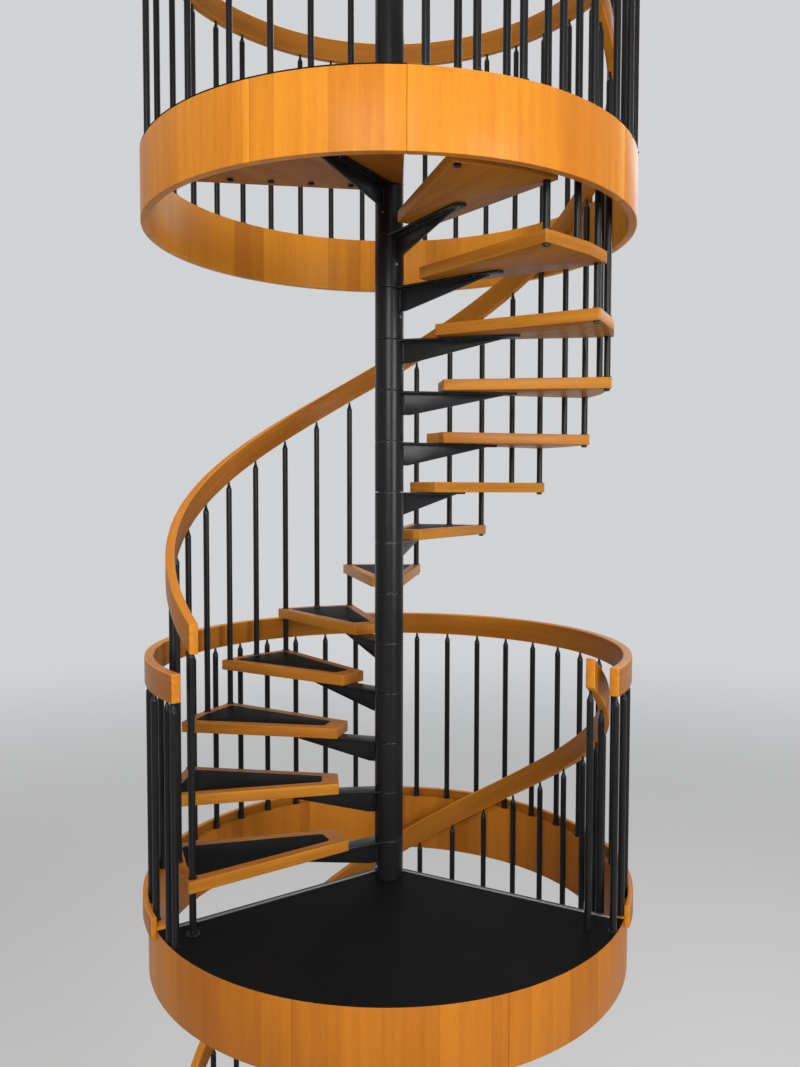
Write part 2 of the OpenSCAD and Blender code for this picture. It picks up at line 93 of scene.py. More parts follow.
amount = maker(IntProperty, min=1)
length = maker(FloatProperty, unit="LENGTH")
lens = maker(FloatProperty, unit="CAMERA")
watts = maker(FloatProperty, unit="POWER")
share = maker(FloatProperty, subtype="FACTOR", min=0, max=1)
colour = maker(FloatVectorProperty, subtype="COLOR", size=3, min=0, max=1)
spot = maker(FloatVectorProperty, subtype="TRANSLATION", unit="LENGTH", size=3)


def group(kind, name, description):
    return PointerProperty(type=kind, name=name, description=description)


def angle(name, description, degrees):
    """An angle, which Blender keeps in radians."""
    return maker(FloatProperty, subtype="ANGLE")(name, description, radians(degrees))


class FlightSizes(bpy.types.PropertyGroup):
    """The two flights, their treads and the boards' edges."""

    treads: amount("Treads", "Treads in one flight", 13)
    rise: length("Rise", "Height from one tread to the next", 0.2)
    step: angle("Step", "Angle from one tread to the next", 22.4)
    lower_start: angle("Lower start", "Direction of the lower flight's first tread", 251.2)
    upper_start: angle("Upper start", "Direction of the upper flight's first tread", 207.9)
    thickness: length("Thickness", "Thickness of a tread and of a landing board", 0.043)
    inner: length("Inner end", "Distance from the axis to a tread's inner end", 0.204)
    inner_front: length("Inner front", "Inner end's half width on the nosing side", 0.054)
    inner_back: length("Inner back", "Inner end's half width on the back side", 0.080)
    front_margin: length("Front margin", "Wood beyond the front baluster", 0.027)
    back_margin: length("Back margin", "Wood beyond the back baluster", 0.018)
    belly_margin: length("Belly margin", "Wood beyond the balusters in the middle", 0.022)
    belly_turn: angle("Belly turn", "Direction of the outer end's blunt corner", -0.5)
    edge: length("Edge", "Radius of a tread's rounded edges", 0.0028)
    corner: length("Corner", "Radius of a tread's corners from above", 0.006)
    inlay_depth: length("Inlay depth", "Thickness of the black inlay", 0.005)
    inlay_edge: length("Inlay edge", "Wood in front of and behind the inlay", 0.040)
    inlay_inner: length("Inlay inner edge", "Wood at the inlay's inner end", 0.066)
    inlay_corner: length("Inlay corner", "Corner radius of the inlay", 0.018)


class ColumnSizes(bpy.types.PropertyGroup):
    """The column, its brackets and its base."""

    sleeve: length("Sleeve", "Outer diameter of the stacked sleeves", 0.114)
    bore: length("Bore", "Inner diameter of the sleeves", 0.0906)
    groove: length("Groove", "Open groove between two sleeves", 0.002)
    head: length("Head", "Height of the column's head above the top floor", 0.975)
    cap: length("Cap", "Height of the domed cap", 0.022)
    flange: length("Flange", "Diameter of the base flange", 0.300)
    flange_thickness: length("Flange thickness", "Thickness of the base flange", 0.015)
    bolt_circle: length("Bolt circle", "Circle on which the base bolts stand", 0.240)
    bolts: amount("Bolts", "Number of base bolts", 6)
    collar: length("Collar", "Height of the collar round the post's foot", 0.040)
    arm: length("Arm", "Reach of a tread arm from the axis", 0.520)
    landing_arm: length("Landing arm", "Reach of a landing arm from the axis", 0.700)
    landing_arm_step: angle("Landing arm step", "Angle between the room landing's arms", 39)
    top_arm_turn: angle("Top arm turn", "Angle from the top landing's front edge to its arm", 30)
    web_short: length("Web end", "Distance from the arm's tip to the web's end", 0.050)
    web_depth: length("Web depth", "Depth of the web at the sleeve", 0.092)
    web: length("Web", "Thickness of the web", 0.010)
    plate: length("Plate", "Thickness of the arm's top plate", 0.008)
    tip: length("Tip", "Width of the plate at its rounded tip", 0.056)
    screw_drop: length("Screw drop", "Depth of a set screw below its sleeve's top", 0.112)
    root: length("Root", "Width of the plate at the sleeve", 0.074)


class RailSizes(bpy.types.PropertyGroup):
    """The handrails, their balusters and the guards round the openings."""

    radius: length("Baluster line", "Radius on which the stair's balusters stand", 0.846)
    shift: length("Rail shift", "Distance of the handrail outside that line", 0.006)
    lead: angle("Lead", "Angle of the front baluster ahead of a tread's middle", 7.4)
    baluster: length("Baluster", "Diameter of a baluster", 0.025)
    pin: length("Pin", "Diameter of the pin at a baluster's top", 0.010)
    cone: length("Cone", "Height of the cone under the pin", 0.020)
    thickness: length("Rail thickness", "Radial thickness of a handrail", 0.034)
    height: length("Rail height", "Upright height of the stair's handrails", 0.106)
    run: length("Rail run", "Rail's top above the line of nosings", 0.865)
    lower_lift: length("Lower lift", "Rise of the lower rail's upper end", 0.085)
    upper_lift: length("Upper lift", "Rise of the upper rail's lower end", 0.050)
    overrun_low: length("Low overrun", "Handrail beyond its first baluster", 0.044)
    overrun_high: length("High overrun", "Handrail beyond its last baluster", 0.020)
    round: length("Rail edge", "Radius of a rail's rounded edges", 0.0045)
    guard_radius: length("Guard line", "Radius of the guards' rails and balusters", 0.932)
    guard_top: length("Guard top", "Height of the guard rails above the floor", 0.947)
    guard_height: length("Guard rail height", "Height of a guard rail's band", 0.100)
    guard_pitch: length("Guard pitch", "Distance between two guard balusters", 0.1557)
    guard_end: length("Guard end", "Room guard's end to its last baluster", 0.025)
    over_start: length("Start overlap", "Room guard past the landing's far edge", 0.135)
    over_end: length("End overlap", "Room guard past the landing's near edge", 0.172)
    room_first: length("Room first", "Room guard's end to its second baluster", 0.141)
    top_first: length("Top first", "Top guard's end to its first baluster", 0.055)
    end_first: length("End first", "Axis to the end guard's first baluster", 0.152)
    end_pitch: length("End pitch", "Distance between two end guard balusters", 0.155)


class OpeningSizes(bpy.types.PropertyGroup):
    """The landings and the linings of the two floor openings."""

    room_start: angle("Room start", "Landing's edge beside the upper flight", 214.0)
    room_end: angle("Room end", "Landing's edge over the lower flight", 331.0)
    room_lip: length("Room lip", "Distance of its edges outside the radial lines", 0.075)
    top_start: angle("Top start", "Top landing's edge under the end guard", 187.5)
    top_end: angle("Top end", "Top landing's edge at the last tread", 270.0)
    top_lip: length("Top lip", "Distance of its edges outside the radial lines", 0.050)
    lining: length("Opening", "Inner radius of the linings", 0.915)
    lining_thickness: length("Lining", "Thickness of a lining", 0.030)
    lining_depth: length("Lining depth", "Height of a lining below the floor", 0.250)
    joint: length("Joint", "Open joint between two panels", 0.001)
    ledge: length("Ledge", "Height of the room lining's open part above the floor", 0.012)
    cover: length("Cover", "Thickness of the black covering", 0.004)
    curb: length("Curb", "Thickness of the upstand outside the room's lining", 0.020)
    curb_top: length("Curb top", "Height of the upstand above the floor", 0.048)
    curb_drop: length("Curb drop", "Depth of the upstand below the floor", 0.030)
    strip: length("Strip", "Height and width of a landing's edge strip", 0.022)
    strip_thickness: length("Strip thickness", "Thickness of the edge strip", 0.0025)


class Finishes(bpy.types.PropertyGroup):
    """Colours and gloss of the materials."""

    beech_dark: colour("Beech dark", "Late wood of the treads' edges", (0.215, 0.070, 0.007))
    beech_light: colour("Beech light", "Early wood of the treads' edges", (0.420, 0.166, 0.017))
    # Painted light: the rail pair is a lighter copy of the treads' beech, made lighter to make up
    # for the light that falls less on rails and linings; it also has less contrast.
    rail_dark: colour("Rail dark", "Late wood of rails and top lining", (0.385, 0.123, 0.011))
    rail_light: colour("Rail light", "Early wood of rails and top lining", (0.630, 0.240, 0.019))
    # Painted shade: the room lining's pair is the rail pair darkened by about a third, for the shade
    # that falls on that lining under the room's floor.
    lining_dark: colour("Lining dark", "Late wood of the room lining", (0.255, 0.075, 0.007))
    lining_light: colour("Lining light", "Early wood of the room lining", (0.415, 0.146, 0.012))
    veneer_dark: colour("Veneer dark", "Late wood of the boards' faces", (0.212, 0.063, 0.006))
    veneer_light: colour("Veneer light", "Early wood of the boards' faces", (0.405, 0.148, 0.013))
    fleck: colour("Fleck", "Short rays in the wood", (0.070, 0.021, 0.004))
    steel: colour("Steel", "Black lacquer on the steel", (0.0060, 0.0063, 0.0068))
    steel_rubbed: colour("Rubbed steel", "Lacquer on rubbed edges", (0.060, 0.061, 0.063))
    inlay: colour("Inlay", "Black inlay and landing covering", (0.0042, 0.0043, 0.0043))
    scuff: colour("Scuff", "Marks of shoes on the black surfaces", (0.030, 0.029, 0.027))
    strip: colour("Strip", "Metal edge strip", (0.28, 0.28, 0.29))
    plated: colour("Plated", "Plated screws and base bolts", (0.42, 0.42, 0.43))
    post: colour("Post", "Bare steel of the inner post", (0.16, 0.16, 0.165))
    leaf: length("Leaf", "Width of a leaf of veneer on the linings", 0.165)
    lacquer: share("Lacquer", "Gloss coat on the wood", 0.05)


class StageSettings(bpy.types.PropertyGroup):
    """Camera, light and floor."""

    focal: lens("Focal length", "Focal length on a 36 mm long side", 30.52)
    eye: spot("Eye", "Place of the camera", (0, -3.619, 4.365))
    turn: angle("Turn", "Camera's turn towards +X", 0.686)
    pitch: angle("Pitch", "Camera's tilt downwards", 2.728)
    roll: angle("Roll", "Camera's roll", 0.10)
    floor: colour("Floor", "Colour of the floor", (0.52, 0.52, 0.51))
    floor_fade_from: length("Fade from", "Distance where the floor starts to turn into sky", 4.0)
    floor_fade_to: length("Fade to", "Distance where the floor is as bright as the sky", 22.0)
    sky: colour("Sky", "Light from all round", (0.97, 0.98, 1.0))
    sky_strength: share("Sky strength", "Brightness of the light from all round", 0.66)
    key: watts("Key", "Power of the key light in watts", 430)
    fill: watts("Fill", "Power of the fill light in watts", 460)
    rim: watts("Rim", "Power of the rim light in watts", 150)
    top: watts("Top", "Power of the top light in watts", 200)


class StaircaseSettings(bpy.types.PropertyGroup):
    """All settings of the staircase."""

    flight: group(FlightSizes, "Flights", "Sizes of the flights")
    column: group(ColumnSizes, "Column", "Sizes of the column")
    rail: group(RailSizes, "Rails", "Sizes of the rails")
    opening: group(OpeningSizes, "Openings", "Sizes of landings and linings")
    finish: group(Finishes, "Finishes", "Colours and gloss")
    stage: group(StageSettings, "Stage", "Camera and light")


# Shader expressions


class Signal:
    """A number socket whose operators add the Math nodes that work the expression out."""

    def __init__(self, shader, socket):
        self.shader = shader
        self.socket = socket

    def math(self, operation, first, second):
        return self.shader.node("ShaderNodeMath", {"operation": operation}, {0: first, 1: second})

    def __add__(self, other):
        return self.math("ADD", self, other)

    def __sub__(self, other):
        return self.math("SUBTRACT", self, other)

    def __rsub__(self, other):
        return self.math("SUBTRACT", other, self)

    def __mul__(self, other):
        return self.math("MULTIPLY", self, other)

    __radd__ = __add__
    __rmul__ = __mul__

    def above(self, level):
        return self.math("GREATER_THAN", self, level)

    def smooth(self, low, high):
        """0 under low, 1 over high, and a soft step between them."""
        return self.shader.node(
            "ShaderNodeMapRange",
            {"interpolation_type": "SMOOTHSTEP"},
            {"Value": self, "From Min": low, "From Max": high},
        )


class Shader:
    """A node material with one Principled surface."""

    def __init__(self, name):
        self.material = bpy.data.materials.new(name)
        self.material.use_nodes = True
        self.tree = self.material.node_tree
        self.surface = self.tree.nodes["Principled BSDF"]

    def node(self, kind, facts=None, inputs=None, output=0):
        """Adds a node: its own settings first, then the values or links of its sockets."""
        node = self.tree.nodes.new(kind)
        for name, value in (facts or {}).items():
            setattr(node, name, value)
        for key, value in (inputs or {}).items():
            self.set(node.inputs[key], value)
        return Signal(self, node.outputs[output])

    def set(self, socket, value):
        if isinstance(value, Signal):
            self.tree.links.new(value.socket, socket)
        elif socket.type == "RGBA":
            socket.default_value = (*value, 1)
        else:
            socket.default_value = value

    def finish(self, **values):
        """Sets the surface's sockets; underscores in the names stand for spaces."""
        for name, value in values.items():
            self.set(self.surface.inputs[name.replace("_", " ")], value)
        return self.material

    def mix(self, factor, first, second):
        return self.node(
            "ShaderNodeMix", {"data_type": "RGBA"}, {0: factor, 6: first, 7: second}, output=2
        )

    def noise(self, vector, scale, detail, roughness=0.55):
        """Noise with so many ripples per metre along each of the vector's axes."""
        stretched = self.node(
            "ShaderNodeVectorMath", {"operation": "MULTIPLY"}, {0: vector, 1: scale}
        )
        return self.node(
            "ShaderNodeTexNoise",
            inputs={"Vector": stretched, "Scale": 1.0, "Detail": detail, "Roughness": roughness},
        )

    def place(self):
        return self.node("ShaderNodeTexCoord", output="Object")

    def map(self):
        return self.node("ShaderNodeUVMap", {"uv_map": MAP})

    def value(self, attribute):
        return self.node("ShaderNodeAttribute", {"attribute_name": attribute}, output="Fac")

    def bump(self, height, distance, strength):
        return self.node(
            "ShaderNodeBump",
            inputs={"Height": height, "Distance": distance, "Strength": strength},
        )


def wood(name, finish, tint, laminated=False, turn=None, leaf=None):
    """Lacquered beech: broad figure, fine fibres and short rays along the map's first axis.

    tint names the finish's pair of a dark and a light colour. Without turn the pattern
    follows the piece's own map; with it, the pattern follows Object coordinates turned by
    that angle about +Z. leaf is the width of a veneer's leaves."""
    shader = Shader(name)
    dark, light = getattr(finish, f"{tint}_dark"), getattr(finish, f"{tint}_light")
    if turn is None:
        grain = shader.map()
    else:
        grain = shader.node(
            "ShaderNodeMapping",
            {"vector_type": "TEXTURE"},
            {"Vector": shader.place(), "Rotation": (0, 0, turn)},
        )
    tone = shader.noise(grain, (0.55, 2.6, 1.0), 2.0)
    figure = shader.noise(grain, (1.5, 34, 30), 4.0, 0.6)
    fibre = shader.noise(grain, (16, 620, 500), 2.0)
    ray = shader.noise(grain, (85, 620, 500), 1.0).smooth(0.66, 0.74)
    shade = tone * 0.9 + fibre * 0.35
    if leaf:
        shade = shade + figure * 0.42 + leaves(shader, grain, leaf) * 0.24 - 0.45
    else:
        shade = shade + figure * 0.75 - 0.5
    base = shader.mix(shade.smooth(0.15, 0.85), dark, light)
    streak = shader.noise(grain, (1.1, 17, 15), 2.0).smooth(0.70, 0.80)
    base = shader.mix(streak * 0.45 + ray * 0.42, base, finish.fleck)
    wear = shader.value(WEAR)
    rubbed = wear * shader.noise(grain, (9, 60, 60), 2.0).smooth(0.35, 0.7)
    base = shader.mix(rubbed * 0.35, base, light)
    height = fibre * 0.6 + figure * 0.4 - ray * 0.5
    if laminated:
        glue = glue_lines(shader)
        base = shader.mix(glue * 0.55, base, finish.fleck)
        height = height - glue * 0.8
    smear = shader.noise(grain, (3.2, 11, 11), 3.0)
    return shader.finish(
        Base_Color=base,
        Roughness=smear * 0.22 + ray * 0.10 + 0.27,
        Coat_Weight=finish.lacquer,
        Coat_Roughness=0.20,
        Specular_IOR_Level=0.07,
        Normal=shader.bump(height, 0.00035, 0.55),
    )


def leaves(shader, grain, width):
    """A tone of its own for each leaf: white noise of the way across, snapped to its width."""
    across = shader.node("ShaderNodeSeparateXYZ", inputs={0: grain}, output=1)
    return shader.node(
        "ShaderNodeTexWhiteNoise",
        {"noise_dimensions": "1D"},
        {"W": across.math("SNAP", across, width)},
        output="Value",
    )


def glue_lines(shader):
    """Thin dark lines across a laminated piece: 1 near each multiple of the pitch."""
    pitch, width = 0.0034, 0.00045
    layer = shader.value(LAYER)
    return 1 - layer.math("PINGPONG", layer, pitch / 2).smooth(width / 2, width)


def black_steel(name, finish):
    """Satin black lacquer with a fine orange peel, upright scratches and rubbed edges."""
    shader = Shader(name)
    place = shader.place()
    peel = shader.noise(place, (260, 260, 260), 2.0)
    cloud = shader.noise(place, (5, 5, 3), 4.0)
    scratch = shader.noise(place, (150, 150, 7), 2.0).smooth(0.64, 0.74)
    rubbed = shader.value(WEAR) * shader.noise(place, (60, 60, 60), 3.0).smooth(0.42, 0.6)
    base = shader.mix(
        rubbed * 0.55 + cloud * 0.05 + scratch * 0.06, finish.steel, finish.steel_rubbed
    )
    return shader.finish(
        Base_Color=base,
        Roughness=cloud * 0.14 + scratch * 0.08 + 0.21 - rubbed * 0.03,
        Specular_IOR_Level=0.16,
        Normal=shader.bump(peel, 0.00009, 0.35),
    )


def bare_steel(name, tone, rough):
    """Plated or bare metal with fine turning marks."""
    shader = Shader(name)
    place = shader.place()
    mark = shader.noise(place, (300, 300, 900), 2.0)
    cloud = shader.noise(place, (30, 30, 30), 2.0)
    return shader.finish(
        Base_Color=shader.mix(cloud * 0.5, tone, [c * 0.6 for c in tone]),
        Metallic=1.0,
        Roughness=mark * 0.15 + rough,
        Normal=shader.bump(mark, 0.00005, 0.5),
    )


def ribbed_strip(name, finish):
    """Mill-finished metal, with a black ribbed insert where the wear attribute is 1."""
    shader = Shader(name)
    insert = shader.value(WEAR).above(0.5)
    mark = shader.noise(shader.place(), (300, 300, 300), 2.0)
    return shader.finish(
        Base_Color=shader.mix(insert, finish.strip, finish.inlay),
        Metallic=1 - insert,
        Roughness=mark * 0.15 + 0.30,
        Normal=shader.bump(mark, 0.00005, 0.5),
    )


def black_covering(name, finish):
    """Black lino: fine grain, a soft shine that varies where feet polish it, and faint scuffs."""
    shader = Shader(name)
    place = shader.place()
    grain = shader.noise(place, (700, 700, 700), 2.0)
    polish = shader.noise(place, (2.6, 2.6, 2.6), 4.0, 0.6)
    scuff = shader.noise(place, (46, 12, 20), 4.0, 0.7).smooth(0.66, 0.84)
    dust = shader.noise(place, (300, 300, 300), 1.0).smooth(0.78, 0.86)
    base = shader.mix(scuff * 0.30 + dust * 0.30 + polish * 0.12, finish.inlay, finish.scuff)
    return shader.finish(
        Base_Color=base,
        Roughness=polish * 0.30 + scuff * 0.12 + 0.36,
        Specular_IOR_Level=0.02,
        Normal=shader.bump(grain, 0.00016, 0.6),
    )


def pale_floor(name, stage):
    """Plain pale floor that glows like the sky far away, so that no horizon shows.

    Its light fades from the lamps' to the sky's own colour between two distances."""
    shader = Shader(name)
    place = shader.place()
    cloud = shader.noise(place, (1.2, 1.2, 1.2), 3.0)
    distance = shader.node(
        "ShaderNodeVectorMath", {"operation": "LENGTH"}, {0: place}, output="Value"
    )
    far = distance.smooth(stage.floor_fade_from, stage.floor_fade_to)
    black, sky = (0.0, 0.0, 0.0), [c * stage.sky_strength for c in stage.sky]
    return shader.finish(
        Base_Color=shader.mix(far, stage.floor, black),
        Emission_Color=shader.mix(far, black, sky),
        Emission_Strength=1.0,
        Roughness=cloud * 0.15 + 0.6,
        Specular_IOR_Level=0.0,
    )


# Shapes


class Form:
    """Grids of points, each with its wood map, wear, layer and finish, that make one piece.

    A grid is an array (copies, rows, columns, 3): every four neighbours in a copy make a
    face, so a shape is a function of row and column."""

    def __init__(self):
        self.grids = []

    def grid(self, points, along, across, wear=0.0, layer=0.0, finish=0):
        """Adds a grid of points, with the other values spread over its rows and columns."""
        points = np.asarray(points, float)
        points = points if points.ndim == 4 else points[None]
        spread = [np.broadcast_to(a, points.shape[:3]) for a in (along, across, wear, layer)]
        self.grids.append((points, *spread, finish))
        return self

    def flat(self, first, second, height, finish):
        """A band between two loops in plan, which are its wood map too, at one height each."""
        loops = np.stack([np.broadcast_to(first, second.shape), second])
        points = lifted(loops, height)
        return self.grid(points, loops[..., 0], loops[..., 1], finish=finish)

    def moved(self, matrix, shift=(0, 0, 0)):
        """Each point times the matrix, plus the shift."""
        form, matrix = Form(), np.asarray(matrix, float).T
        for points, *rest in self.grids:
            form.grids.append((points @ matrix + shift, *rest))
        return form

    def copies(self, turns, lifts):
        """One copy per angle in turns, in radians about +Z, raised by its lift.

        Each copy's wood map starts elsewhere, so that no two show the same grain."""
        form = Form()
        for number, (turn, lift) in enumerate(np.broadcast(turns, lifts)):
            c, s = cos(turn), sin(turn)
            copy = self.moved([[c, -s, 0], [s, c, 0], [0, 0, 1]], (0, 0, lift))
            form.join(copy.regrained(*(number * shift for shift in GRAIN_SHIFT)))
        return form

    def regrained(self, along, across):
        """The same form cut from another place in the wood: its map moved both ways."""
        form = Form()
        for points, walk, girth, *rest in self.grids:
            form.grids.append((points, walk + along, girth + across, *rest))
        return form

    def join(self, *forms):
        """Adds the grids of other forms."""
        for form in forms:
            self.grids += form.grids
        return self

    def piece(self, name, finishes, slot, *nodes, sharp=32):
        """Builds the mesh, merges its seams, turns the faces outwards and lets it ride."""
        points, attributes, faces, marks, start = [], [], [], [], 0
        for grid, *values, finish in self.grids:
            copies, rows, columns = grid.shape[:3]
            index = start + np.arange(copies * rows * columns).reshape(copies, rows, columns)
            quads = np.stack(
                [index[:, :-1, :-1], index[:, 1:, :-1], index[:, 1:, 1:], index[:, :-1, 1:]], -1
            ).reshape(-1, 4)
            points.append(grid.reshape(-1, 3))
            attributes.append(np.stack([v.reshape(-1) for v in values], -1))
            faces.append(quads)
            marks.append(np.full(len(quads), finish))
            start += grid[..., 0].size
        points, attributes = np.concatenate(points), np.concatenate(attributes)
        faces, marks = np.concatenate(faces), np.concatenate(marks)
        mesh = bpy.data.meshes.new(name)
        mesh.from_pydata(points, [], faces.tolist())
        corner = np.zeros(len(mesh.loops), int)
        mesh.loops.foreach_get("vertex_index", corner)
        uv = mesh.uv_layers.new(name=MAP)
        uv.data.foreach_set("uv", attributes[corner, :2].ravel())
        for column, attribute in ((2, WEAR), (3, LAYER)):
            layer = mesh.attributes.new(attribute, "FLOAT", "POINT")
            layer.data.foreach_set("value", attributes[:, column].astype(np.float32))
        mesh.polygons.foreach_set("material_index", marks)
        for finish in finishes:
            mesh.materials.append(bpy.data.materials[finish])
        weld(mesh)
        mesh.shade_smooth()
        mesh.set_sharp_from_angle(angle=radians(sharp))
        piece = bpy.data.objects.new(name, mesh)
        bpy.context.scene.collection.objects.link(piece)
        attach(piece, "root")
        if nodes:
            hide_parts(*nodes)


def weld(mesh):
    """Merges seams and poles, drops faces with no area and turns the rest outwards."""
    data = bmesh.new()
    data.from_mesh(mesh)
    bmesh.ops.remove_doubles(data, verts=data.verts, dist=2e-6)
    bmesh.ops.dissolve_degenerate(data, edges=data.edges, dist=1e-7)
    bmesh.ops.recalc_face_normals(data, faces=data.faces)
    data.to_mesh(mesh)
    data.free()


def closed(array):
    """Rows of points with the first point of each row repeated at its end."""
    return np.concatenate([array, array[..., :1, :]], -2)


def unit(vectors):
    """Vectors divided by their length."""
    return vectors / np.linalg.norm(vectors, axis=-1, keepdims=True)


def polar(radius, turn):
    """Plan points radius * (cos turn, sin turn)."""
    return np.stack(np.broadcast_arrays(radius * np.cos(turn), radius * np.sin(turn)), -1)


def cross(first, second):
    """Cross product of plan vectors: x1 * y2 - y1 * x2."""
    return first[..., 0] * second[..., 1] - first[..., 1] * second[..., 0]


def left(vectors):
    """Plan vectors turned to the left by a quarter: (-y, x)."""
    return np.stack([-vectors[..., 1], vectors[..., 0]], -1)


def strides(outline):
    """Vectors from each point of a closed outline to the next one."""
    return np.roll(outline, -1, 0) - outline


def outward(turn):
    """Level vectors (cos turn, sin turn, 0)."""
    return np.stack([np.cos(turn), np.sin(turn), 0 * turn], -1)


def lifted(plan, height):
    """Points (x, y, height) over rows of plan points, with one height for each row."""
    level = np.broadcast_to(np.reshape(height, (-1, 1, 1)), (*plan.shape[:2], 1))
    return np.concatenate([plan, level], -1)


def walked(path):
    """Distance walked along a path, at each of its points."""
    return np.concatenate([[0], np.linalg.norm(np.diff(path, axis=0), axis=-1).cumsum()])


def inset(corners, margins):
    """An anticlockwise outline with each side moved inwards by its own margin.

    Corner i is where the moved lines of sides i - 1 and i meet."""
    side = unit(strides(corners))
    start = corners + left(side) * np.broadcast_to(margins, len(corners))[:, None]
    before, way = np.roll(start, 1, 0), np.roll(side, 1, 0)
    far = cross(start - before, side) / cross(way, side)
    return before + way * far[:, None]


def rounded(corners, radius, steps=6):
    """A convex outline whose corners are arcs that touch both sides.

    An arc's middle lies radius / sin(half the corner's angle) from the corner."""
    to_next = unit(strides(corners))
    to_last = -np.roll(to_next, 1, 0)
    half = np.arccos((to_last * to_next).sum(-1)) / 2
    centre = corners + unit(to_last + to_next) * (radius / np.sin(half))[:, None]
    tangent = (radius / np.tan(half))[:, None]
    first, last = corners + to_last * tangent - centre, corners + to_next * tangent - centre
    start = np.arctan2(first[:, 1], first[:, 0])
    sweep = (np.arctan2(last[:, 1], last[:, 0]) - start + 3 * pi) % (2 * pi) - pi
    turn = start[:, None] + sweep[:, None] * np.linspace(0, 1, steps + 1)
    return (centre[:, None] + polar(radius, turn)).reshape(-1, 2)


def reach(outline, centre, turns):
    """Distance from centre to a closed outline in each direction: where the ray meets a side."""
    side, way, gap = strides(outline), polar(1.0, turns)[:, None], outline - centre
    tiny, slack = 1e-12, 1e-6
    sine = cross(way, side)
    sine = np.where(np.abs(sine) < tiny, tiny, sine)
    far, along = cross(gap, side) / sine, cross(gap, way) / sine
    hit = (far > 0) & (along > -slack) & (along < 1 + slack)
    return np.where(hit, far, np.inf).min(1)


def slab(outline, low, high, edge, face=0, hollow=None, depth=0.0):
    """A convex board: the outline between two heights, its edges quarter circles.

    Row angle t of an edge lies edge * (1 - sin t) inside the outline and edge * (1 - cos t)
    from the face. hollow is the outline of a recess in the top, depth deep, and face is the
    finish of all but the rim."""
    rims = [outline] if hollow is None else [outline, hollow]
    centre = rims[-1].mean(0)
    spokes = [np.arctan2(*(line - centre).T[::-1]) for line in rims]
    turns = np.unique(np.round(np.concatenate(spokes), 7))
    rim, *recess = [centre + polar(reach(line, centre, turns), turns) for line in rims]
    inward = left(unit(np.roll(rim, -1, 0) - np.roll(rim, 1, 0)))
    t = np.linspace(0, pi / 2, 4)
    inner, rise = edge * (1 - np.sin(t)), edge * (1 - np.cos(t))
    depths = np.concatenate([inner, inner[::-1]])
    heights = np.concatenate([low + rise, high - rise[::-1]])
    wear = np.tile(np.sin(2 * t), 2)
    rows = closed(rim[None] + inward[None] * depths[:, None, None])
    form = Form().grid(
        lifted(rows, heights), walked(closed(rim))[None], heights[:, None], wear[:, None]
    )
    form.flat(centre, rows[0], low, face)
    if hollow is None:
        return form.flat(centre, rows[-1], high, face)
    ring = closed(recess[0])
    form.flat(ring, rows[-1], high, face)
    form.flat(ring, ring, [high, high - depth], face)
    return form.flat(centre, ring, high - depth, face)


def turned(centres, low, high, profile, sides=24, finish=0):
    """Surfaces of revolution about upright axes, one per centre.

    The profile's rows are radius, end (0 for low, 1 for high), offset from that end and
    wear: point = centre + radius * (cos t, sin t), and its height is that end plus offset."""
    radius, end, offset, wear = np.asarray(profile, float).T
    count = max(np.size(centres) // 2, np.size(low), np.size(high))
    centres = np.broadcast_to(centres, (count, 2))
    ends = np.stack([np.broadcast_to(low, count), np.broadcast_to(high, count)], -1)
    height = ends[:, end.astype(int)] + offset
    t = np.linspace(0, 2 * pi, sides + 1)
    points = np.empty((count, len(radius), sides + 1, 3))
    points[..., :2] = centres[:, None, None] + polar(radius[:, None], t)
    points[..., 2] = height[..., None]
    across = t * radius.max() + np.arange(count)[:, None, None]
    return Form().grid(points, height[..., None], across, wear[:, None], finish=finish)


def softened(radius, soft, wear):
    """Profile rows from the axis to the radius, over an edge cut off by soft both ways."""
    return [(0, 0, 0, 0), (radius - soft, 0, 0, 0), (radius, 0, soft, wear)]


def mirrored(profile):
    """Profile rows at the low end, and the same rows upside down at the high end."""
    return profile + [(radius, 1, -offset, wear) for radius, _, offset, wear in reversed(profile)]


def section(width, height, radius, inward):
    """Rows of points round a rectangle whose corners are quarter circles, each row inset.

    A corner's arc is centre + round_off * (cos t, sin t), with the radius less the inset as
    round_off. A side at half a width moves in by the inset, down to the middle line."""
    steps = 3
    inward = np.minimum(np.asarray(inward, float), min(width, height) / 2)[:, None]
    t = (np.arange(4)[:, None] * pi / 2 + np.linspace(0, pi / 2, steps + 1)).ravel()
    signs = np.repeat([[1, 1], [-1, 1], [-1, -1], [1, -1]], steps + 1, 0)
    round_off = np.maximum(radius - inward, 0)
    x = signs[:, 0] * (width / 2 - inward - round_off) + round_off * np.cos(t)
    y = signs[:, 1] * (height / 2 - inward - round_off) + round_off * np.sin(t)
    wear = np.tile(np.sin(np.linspace(0, pi, steps + 1)), 4)
    return closed(np.stack([x, y], -1)), closed(wear[:, None])[:, 0]


